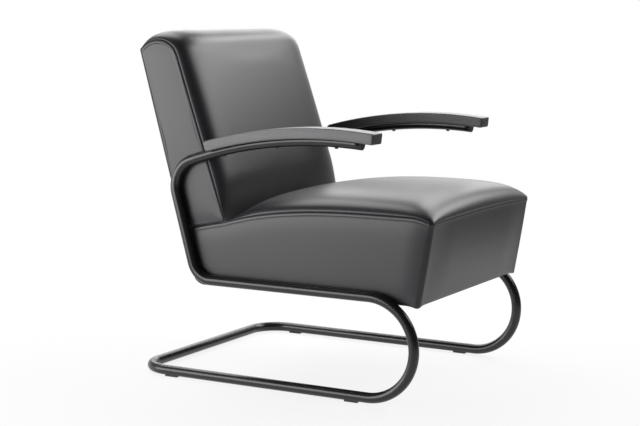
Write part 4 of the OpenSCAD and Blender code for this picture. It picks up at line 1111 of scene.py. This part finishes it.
# %% Seat top
coarse_front, coarse_d = front_distances(10.0, SEAT_REACH - JOINT_S + TUCKED, COARSE)
coarse_u = across_shares(10.0, CROWN, SEAT_DOME, COARSE)[0]
top_swelling = broad_part(
    swollen("seat_top_cloth", seat_top(coarse_front, coarse_u), SEAT_HUB),
    coarse_d / coarse_d[-1], (coarse_u + 1) / 2, top_front_d / top_front_d[-1], (top_u + 1) / 2,
)
top_gap = np.minimum(top_front_d[:, None], top_side_d[None, :])
top_points = relief(seat_top(top_front, top_u), SEAT_HUB, groove(top_gap) + top_swelling)
seat_top_panel = panel("seat_top_panel", top_points, SEAT_HUB)
print("seat top:", top_points.shape)

# %% [markdown]
# The band's relief has three parts besides its top seam: the folded allowance under it, the
# seams at its two rear ends, and small puckers where the seam turns the tight front corner.

# %% Seat band
PUCKER, PUCKER_PITCH, PUCKER_REACH = 0.5, 7.5, 15.0
band_points, band_down = seat_band(band_w)
band_run = np.minimum(band_w, BAND_RUN - band_w)[None, :]
from_corner = band_run - SIDE_RUN - CORNER_RUN / 2
fading = np.exp(-((from_corner / PUCKER_REACH) ** 2)) * np.exp(-band_down / 18) * swell(band_down, 4)
puckers = PUCKER * np.sin(from_corner * 2 * np.pi / PUCKER_PITCH) * fading
band_relief = groove(band_down) + allowance(band_down) + groove(band_run) + puckers
band_points = relief(band_points, SEAT_HUB, band_relief)
seat_band_panel = panel("seat_band_panel", band_points, SEAT_HUB)
print("seat band:", band_points.shape)

# %% [markdown]
# A plain strip closes the seat's cover behind. It goes down from the joint and round the heel,
# and it swells least of all the panels, because it lies on the rear board.

# %% Seat rear
REAR_DROP = 150.0
rear_a = np.concatenate([NEAR_SEAM / REAR_DROP, np.linspace(NEAR_SEAM[-1] / REAR_DROP, 1, 20)[1:]])
rear_gap = np.minimum((rear_a * REAR_DROP)[:, None], back_side_d[None, :])
rear_points = relief(seat_rear(rear_a, back_u), SEAT_HUB, groove(rear_gap))
seat_rear_panel = panel("seat_rear_panel", rear_points, SEAT_HUB)
print("seat rear:", rear_points.shape)

# %% [markdown]
# The back's cover has four panels. The front one goes up and over the top in one piece, as on
# the real chair, so it has no seam where the light falls strongest.

# %% Back front and rear
front_t = along_seams(FRONT_LENGTH, 7.0)
coarse_t = along_seams(FRONT_LENGTH, 10.0, COARSE)
coarse_back_u = across_shares(10.0, BACK_RISE, BACK_DOME, COARSE)[0]
front_swelling = broad_part(
    swollen("back_front_cloth", back_front(coarse_t, coarse_back_u), BACK_MID),
    coarse_t / coarse_t[-1], (coarse_back_u + 1) / 2, front_t / front_t[-1], (back_u + 1) / 2,
)
front_gap = np.minimum(np.minimum(front_t, FRONT_LENGTH - front_t)[:, None], back_side_d[None, :])
front_points = relief(back_front(front_t, back_u), BACK_MID, groove(front_gap) + front_swelling)
back_front_panel = panel("back_front_panel", front_points, BACK_MID)

rear_length = float(np.linalg.norm(BACK_REAR_TOP - BACK_LOW_REAR))
down_d = along_seams(rear_length, 9.0)
back_gap = np.minimum(np.minimum(down_d, rear_length - down_d)[:, None], back_side_d[None, :])
back_rear_points = relief(back_rear(down_d / rear_length, back_u), BACK_MID, groove(back_gap))
back_rear_panel = panel("back_rear_panel", back_rear_points, BACK_MID)
print("back front and rear:", front_points.shape, back_rear_points.shape)

# %% [markdown]
# Each side of the back is one panel, sewn all round and closed at its hub. Its grid is kept
# under its own name, because the stitches follow one of its rings.

# %% Back sides
side_grids = {word: back_side(side) for side, word in SIDES}
back_side_panels = [
    panel(f"back_{word}_panel", side_grids[word], BACK_MID, rings=True) for side, word in SIDES
]
print("back sides:", [len(p.data.vertices) for p in back_side_panels])

# %% [markdown]
# ## Stitches
# A stitch is a short bead of thread whose ends dive into the leather. All stitches of a seam
# are one mesh: the bead's points times each stitch's own three directions, which come from
# the panel's surface along the line of the stitches.

# %% Stitch maker
def bead(sides=6):
    """A stitch of half length 1: rings of a round outline, with both ends shrunk to points."""
    along = np.array([-1.0, -0.8, -0.3, 0.3, 0.8, 1.0])
    width = np.array([0.0, 0.6, 1.0, 1.0, 0.6, 0.0])
    turn = np.linspace(0, 2 * np.pi, sides, endpoint=False)
    return along, width, np.cos(turn), np.sin(turn)


def at_lengths(values, steps, wanted):
    """Points of a line that has the lengths steps, at the wanted lengths."""
    return np.stack([np.interp(wanted, steps, values[:, k]) for k in range(3)], axis=1)


def stitches(name, line, normals, pitch=6.4, length=4.7, thick=0.5):
    """Beads along a line of points in metres. A bead's middle lies 0.3 mm above the leather and
    its ends dip 0.6 mm lower, by the square of the distance along it."""
    steps = np.append(0, np.cumsum(np.linalg.norm(np.diff(line, axis=0), axis=1)))
    at = np.arange(pitch / 2000, steps[-1], pitch / 1000)
    centre, up = at_lengths(line, steps, at), at_lengths(normals, steps, at)
    ahead, behind = np.minimum(at + 0.001, steps[-1]), np.maximum(at - 0.001, 0)
    way = at_lengths(line, steps, ahead) - at_lengths(line, steps, behind)
    way /= np.linalg.norm(way, axis=1, keepdims=True)
    across = np.cross(way, up)
    along, width, wide, high = bead()
    forward = (along * length / 2000)[None, :, None, None]
    lift = ((0.3 - 0.6 * along**2) / 1000)[None, :, None, None]
    sideways = (width[:, None] * wide * thick / 1000)[None, :, :, None]
    upwards = (width[:, None] * high * thick / 1000)[None, :, :, None]
    centre, way, up, across = [values[:, None, None] for values in (centre, way, up, across)]
    points = centre + way * forward + up * (lift + upwards) + across * sideways
    count, rings, sides = points.shape[:3]
    one = grid_faces(rings, sides, close_cols=True)
    faces = (one[None] + (np.arange(count) * rings * sides)[:, None, None]).reshape(-1, 4)
    piece = merge_and_turn(mesh_from(name, points, faces))
    piece.data.materials.append(finishes["thread"])
    print(name, count, "stitches")
    return piece


row = int(np.argmin(np.abs(NEAR_SEAM - STITCH_AT)))
thread_pieces = [stitches("seat_stitches", band_points[row], grid_normals(band_points, SEAT_HUB)[row])]
for side, word in SIDES:
    ring = np.vstack([side_grids[word][row], side_grids[word][row][:1]])
    outwards = np.tile([float(side), 0.0, 0.0], (len(ring), 1))
    thread_pieces.append(stitches(f"back_stitches_{word}", ring, outwards))

# %% [markdown]
# ## What lies under the leather
# The foam, the felt, the webbing and the cloths inside are soft as well, so finer pieces
# stand for their solids. A copy of the solid's own mesh is merged, then a voxel remesh rounds
# the foam all over, and a bevel rounds the edges of felt and webbing.

# %% Inner soft pieces
VOXEL, SOFT_EDGE = 0.008, 0.0004


def soft_copy(name, source, finish, remeshed):
    """A copy of a solid with merged points: remeshed and smoothed, or with rounded edges."""
    mesh = nodes[source].data.copy()
    piece = bpy.data.objects.new(name, mesh)
    bpy.context.scene.collection.objects.link(piece)
    merge_and_turn(piece)
    mesh.materials.clear()
    mesh.materials.append(finishes[finish])
    if remeshed:
        remesh = piece.modifiers.new("voxels", "REMESH")
        remesh.mode, remesh.voxel_size, remesh.use_smooth_shade = "VOXEL", VOXEL, True
        ease = piece.modifiers.new("ease", "SMOOTH")
        ease.factor, ease.iterations = 0.5, 4
        seen = piece.evaluated_get(bpy.context.evaluated_depsgraph_get())
        piece.modifiers.clear()
        piece.data = bpy.data.meshes.new_from_object(seen)
        bpy.data.meshes.remove(mesh)
    else:
        bevel = piece.modifiers.new("round", "BEVEL")
        bevel.width, bevel.segments, bevel.limit_method = SOFT_EDGE, 2, "ANGLE"
    return piece


inner = [
    ("seat_foam_pad", "seat_foam", "upholstery_foam", True),
    ("back_foam_pad", "back_foam", "upholstery_foam", True),
    ("seat_felt", "seat_side_pads", "felt", False),
    ("back_felt", "back_side_pads", "felt", False),
    ("web_bands", "back_webbing", "webbing", False),
]
inner_pieces = {}
for name, source, finish, remeshed in inner:
    inner_pieces[source] = soft_copy(name, source, finish, remeshed)
    print(name, len(inner_pieces[source].data.vertices), "points")

# %% [markdown]
# A cloth over the springs keeps the foam from working down between them, and another closes
# the seat from below. Both are cut to fit, stretched and tacked all round, so they hang only a
# millimetre or three between what carries them.

# %% Tacked cloths
def tacked_cloth(name, source, finish, sag, spans=1):
    """A cloth in its solid's place, tacked round its edges. At the shares a and b it hangs
    sag * sin(pi * a) * |sin(pi * spans * b)| below, so several spans rest on springs between."""
    corners = np.array([nodes[source].matrix_world @ Vector(c) for c in nodes[source].bound_box])
    low, high = corners.min(axis=0), corners.max(axis=0)
    a, b = np.linspace(0, 1, 61)[:, None], np.linspace(0, 1, 61)[None, :]
    x, y = low[0] + (high[0] - low[0]) * b, low[1] + (high[1] - low[1]) * a
    z = high[2] - sag * np.sin(np.pi * a) * np.abs(np.sin(np.pi * spans * b))
    points = np.stack(np.broadcast_arrays(x, y, z), axis=-1)
    under = (low + high) / 2 - np.array([0, 0, 1.0])
    piece = panel(name, points, under, finish, high[2] - low[2])
    return piece, (float(high[0] - low[0]), float(high[1] - low[1]))


spring_cover, spring_cover_cut = tacked_cloth("spring_cover", "spring_cloth", "pale_cloth", 0.0008, 6)
dust_cover, dust_cover_cut = tacked_cloth("dust_cover", "seat_dust_cover", "black_cloth", 0.003)
inner_pieces["spring_cloth"], inner_pieces["seat_dust_cover"] = spring_cover, dust_cover
print("cloths cut to", spring_cover_cut, dust_cover_cut)

# %% [markdown]
# ## Joining the pieces to the frame
# Every piece rides on the chair's one body, and nearly every one stands for a solid of its
# own. The stitches stand for none: the solids have no thread.

# %% Ride and replace
dressed = [
    (tube, "frame_tube", "tube_lacquer"),
    (pads[0], "arm_pad_left", "stained_wood"),
    (pads[1], "arm_pad_right", "stained_wood"),
    (seat_top_panel, "seat_leather_top", "leather"),
    (seat_band_panel, "seat_leather_band", "leather"),
    (seat_rear_panel, "seat_leather_rear", "leather"),
    (back_front_panel, "back_leather_front", "leather"),
    (back_rear_panel, "back_leather_rear", "leather"),
    (back_side_panels[0], "back_leather_left", "leather"),
    (back_side_panels[1], "back_leather_right", "leather"),
]
dressed += [(piece, source, slots[source]) for source, piece in inner_pieces.items()]
for piece, source, slot in dressed:
    if not piece.data.materials:
        piece.data.materials.append(finishes[slot])
    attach(piece, "root")
    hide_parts(source)
for piece in plugs:
    piece.data.materials.append(finishes["black_plastic"])
    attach(piece, "root")
    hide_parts("tube_end_plugs")
for piece in thread_pieces:
    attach(piece, "root")
print("pieces:", len(dressed) + len(plugs) + len(thread_pieces))

# %% [markdown]
# ## Studio
# The chair stands in a white studio, and all that the camera sees behind it is plain white.
# The camera stands to the front left of the chair, a little higher than its back, where a
# fit to the photograph put it.

# %% Camera
CAMERA = Vector((-3.5130, -1.9151, 0.9214))
TARGET = Vector((0.00331, 0.0495, 0.3918))
ROLL, LENS = 0.27, 89.58
back = (CAMERA - TARGET).normalized()
right = (-back).cross(Vector((0, 0, 1))).normalized()
up = right.cross(-back)
roll_cos, roll_sin = np.cos(np.radians(ROLL)), np.sin(np.radians(ROLL))
turn = Matrix((right * roll_cos + up * roll_sin, up * roll_cos - right * roll_sin, back)).transposed()
camera = bpy.data.objects.new("camera", bpy.data.cameras.new("camera"))
camera.data.lens, camera.data.sensor_width = LENS, 36.0
camera.matrix_world = Matrix.Translation(CAMERA) @ turn.to_4x4()
bpy.context.scene.collection.objects.link(camera)
bpy.context.scene.camera = camera
print("camera at", tuple(CAMERA))

# %% [markdown]
# ### Floor
# The floor is a pale sheet that takes the chair's shadow. To the camera and in reflections it
# glows as plain white, all the more the further it is from the chair, so only a faint shadow
# is left round the feet. Reflections see less of that white away from the bright side, because
# the photographed studio was dark there and the lacquer shows it.

# %% Floor
BRIGHT_WAY = (0.5, 0.866, 0.0)
FLOOR_REACH = 30.0
corners = FLOOR_REACH * np.array([[-1.0, -1, 0], [1, -1, 0], [1, 1, 0], [-1, 1, 0]])
floor = mesh_from("floor", corners, np.array([[0, 1, 2, 3]]))
material, tree, shader = new_finish("studio_floor")
place = object_place(tree)
connect(tree, shader, {
    "Base Color": tint(tree, noise(tree, place, 1.2), (0.80, 0.80, 0.80), (0.84, 0.84, 0.84)),
    "Roughness": 0.9,
    "Specular IOR Level": 0.1,
})
ray = tree.nodes.new("ShaderNodeLightPath").outputs
seen = combine(tree, "MAXIMUM", ray["Is Camera Ray"], ray["Is Glossy Ray"])
seen = combine(tree, "MAXIMUM", seen, ray["Is Transmission Ray"])
away = node(tree, "ShaderNodeVectorMath", {0: place}, operation="LENGTH").outputs["Value"]
share = combine(tree, "MULTIPLY", seen, between(tree, away, 0.86, 1.0, 0.6, 2.2, "SMOOTHSTEP"))
outwards = node(tree, "ShaderNodeVectorMath", {0: place}, operation="NORMALIZE").outputs["Vector"]
lit = between(tree, facing(tree, outwards, BRIGHT_WAY), 0.15, 1.0, -0.1, 0.75, "SMOOTHSTEP")
beyond = between(tree, away, 0.0, 1.0, 0.9, 2.4, "SMOOTHSTEP")
beyond = combine(tree, "MULTIPLY", beyond, ray["Is Glossy Ray"])
strength = node(tree, "ShaderNodeMix", {0: beyond, 2: 1.0, 3: lit}, data_type="FLOAT").outputs[0]
white = node(tree, "ShaderNodeEmission", {"Color": (1, 1, 1, 1), "Strength": strength})
mixed = node(tree, "ShaderNodeMixShader", {0: share, 1: shader.outputs[0], 2: white.outputs[0]})
output = next(n for n in tree.nodes if n.type == "OUTPUT_MATERIAL")
tree.links.new(mixed.outputs[0], output.inputs["Surface"])
floor.data.materials.append(material)
print("floor:", 2 * FLOOR_REACH, "m wide")

# %% [markdown]
# ### World and lamps
# The world is plain white to the camera. To everything else it is a soft gradient, whitest at
# the horizon and on the bright side behind the chair, because leather and lacquer mirror it.
# Five wide lamps do the rest: one overhead for the seat and the top of the back, one behind
# on the left for the chair's side, two high on the right for the roll and the seat's edge,
# and one behind on the right that gives the seat its long sheen.

# %% World
world = bpy.data.worlds.new("studio")
bpy.context.scene.world = world
world.use_nodes = True
tree = world.node_tree
tree.nodes.clear()
way = node(tree, "ShaderNodeTexCoord").outputs["Generated"]
height = node(tree, "ShaderNodeSeparateXYZ", {"Vector": way}).outputs["Z"]
horizon = between(tree, height, 1.0, 0.30, 0.16, 0.45, "SMOOTHSTEP")
bright_side = between(tree, facing(tree, way, BRIGHT_WAY), 0.12, 1.0, -0.1, 0.75, "SMOOTHSTEP")
glow = combine(tree, "MULTIPLY", horizon, bright_side)
ray = tree.nodes.new("ShaderNodeLightPath").outputs
straight = combine(tree, "MAXIMUM", ray["Is Camera Ray"], ray["Is Transmission Ray"])
level = node(tree, "ShaderNodeMix", {0: straight, 2: glow, 3: 1.0}, data_type="FLOAT").outputs[0]
backdrop = node(tree, "ShaderNodeBackground", {"Color": (1, 1, 1, 1), "Strength": level})
node(tree, "ShaderNodeOutputWorld", {"Surface": backdrop.outputs[0]})
print("world:", len(tree.nodes), "nodes")


# %% Lamps
def soft_lamp(name, place, aim, size, radiance):
    """A rectangular lamp that looks from a place at a point. Its energy is 4 * area * radiance."""
    lamp = bpy.data.lights.new(name, "AREA")
    lamp.shape, lamp.size, lamp.size_y = "RECTANGLE", size[0], size[1]
    lamp.energy = 4.0 * size[0] * size[1] * radiance
    thing = bpy.data.objects.new(name, lamp)
    thing.location = place
    thing.rotation_euler = (Vector(aim) - Vector(place)).to_track_quat("-Z", "Y").to_euler()
    bpy.context.scene.collection.objects.link(thing)
    print(name, round(lamp.energy, 1), "W")


soft_lamp("overhead", (0.6, 1.5, 2.8), (0, 0, 0.4), (2.0, 1.8), 3.2)
soft_lamp("left_rear", (-2.35, 1.75, 0.75), (0, 0, 0.55), (2.9, 1.6), 4.3)
soft_lamp("right_high", (1.85, -1.55, 2.15), (0, 0, 1.3), (2.4, 1.15), 5.0)
soft_lamp("right_top", (2.05, 0.05, 2.3), (0.2, 0.3, 0.9), (1.1, 0.55), 6.0)
soft_lamp("rear", (3.1, 1.7, 1.9), (0, 0, 0.9), (3.3, 1.4), 2.3)

# %% Finish
bpy.context.scene.view_settings.view_transform = "Standard"
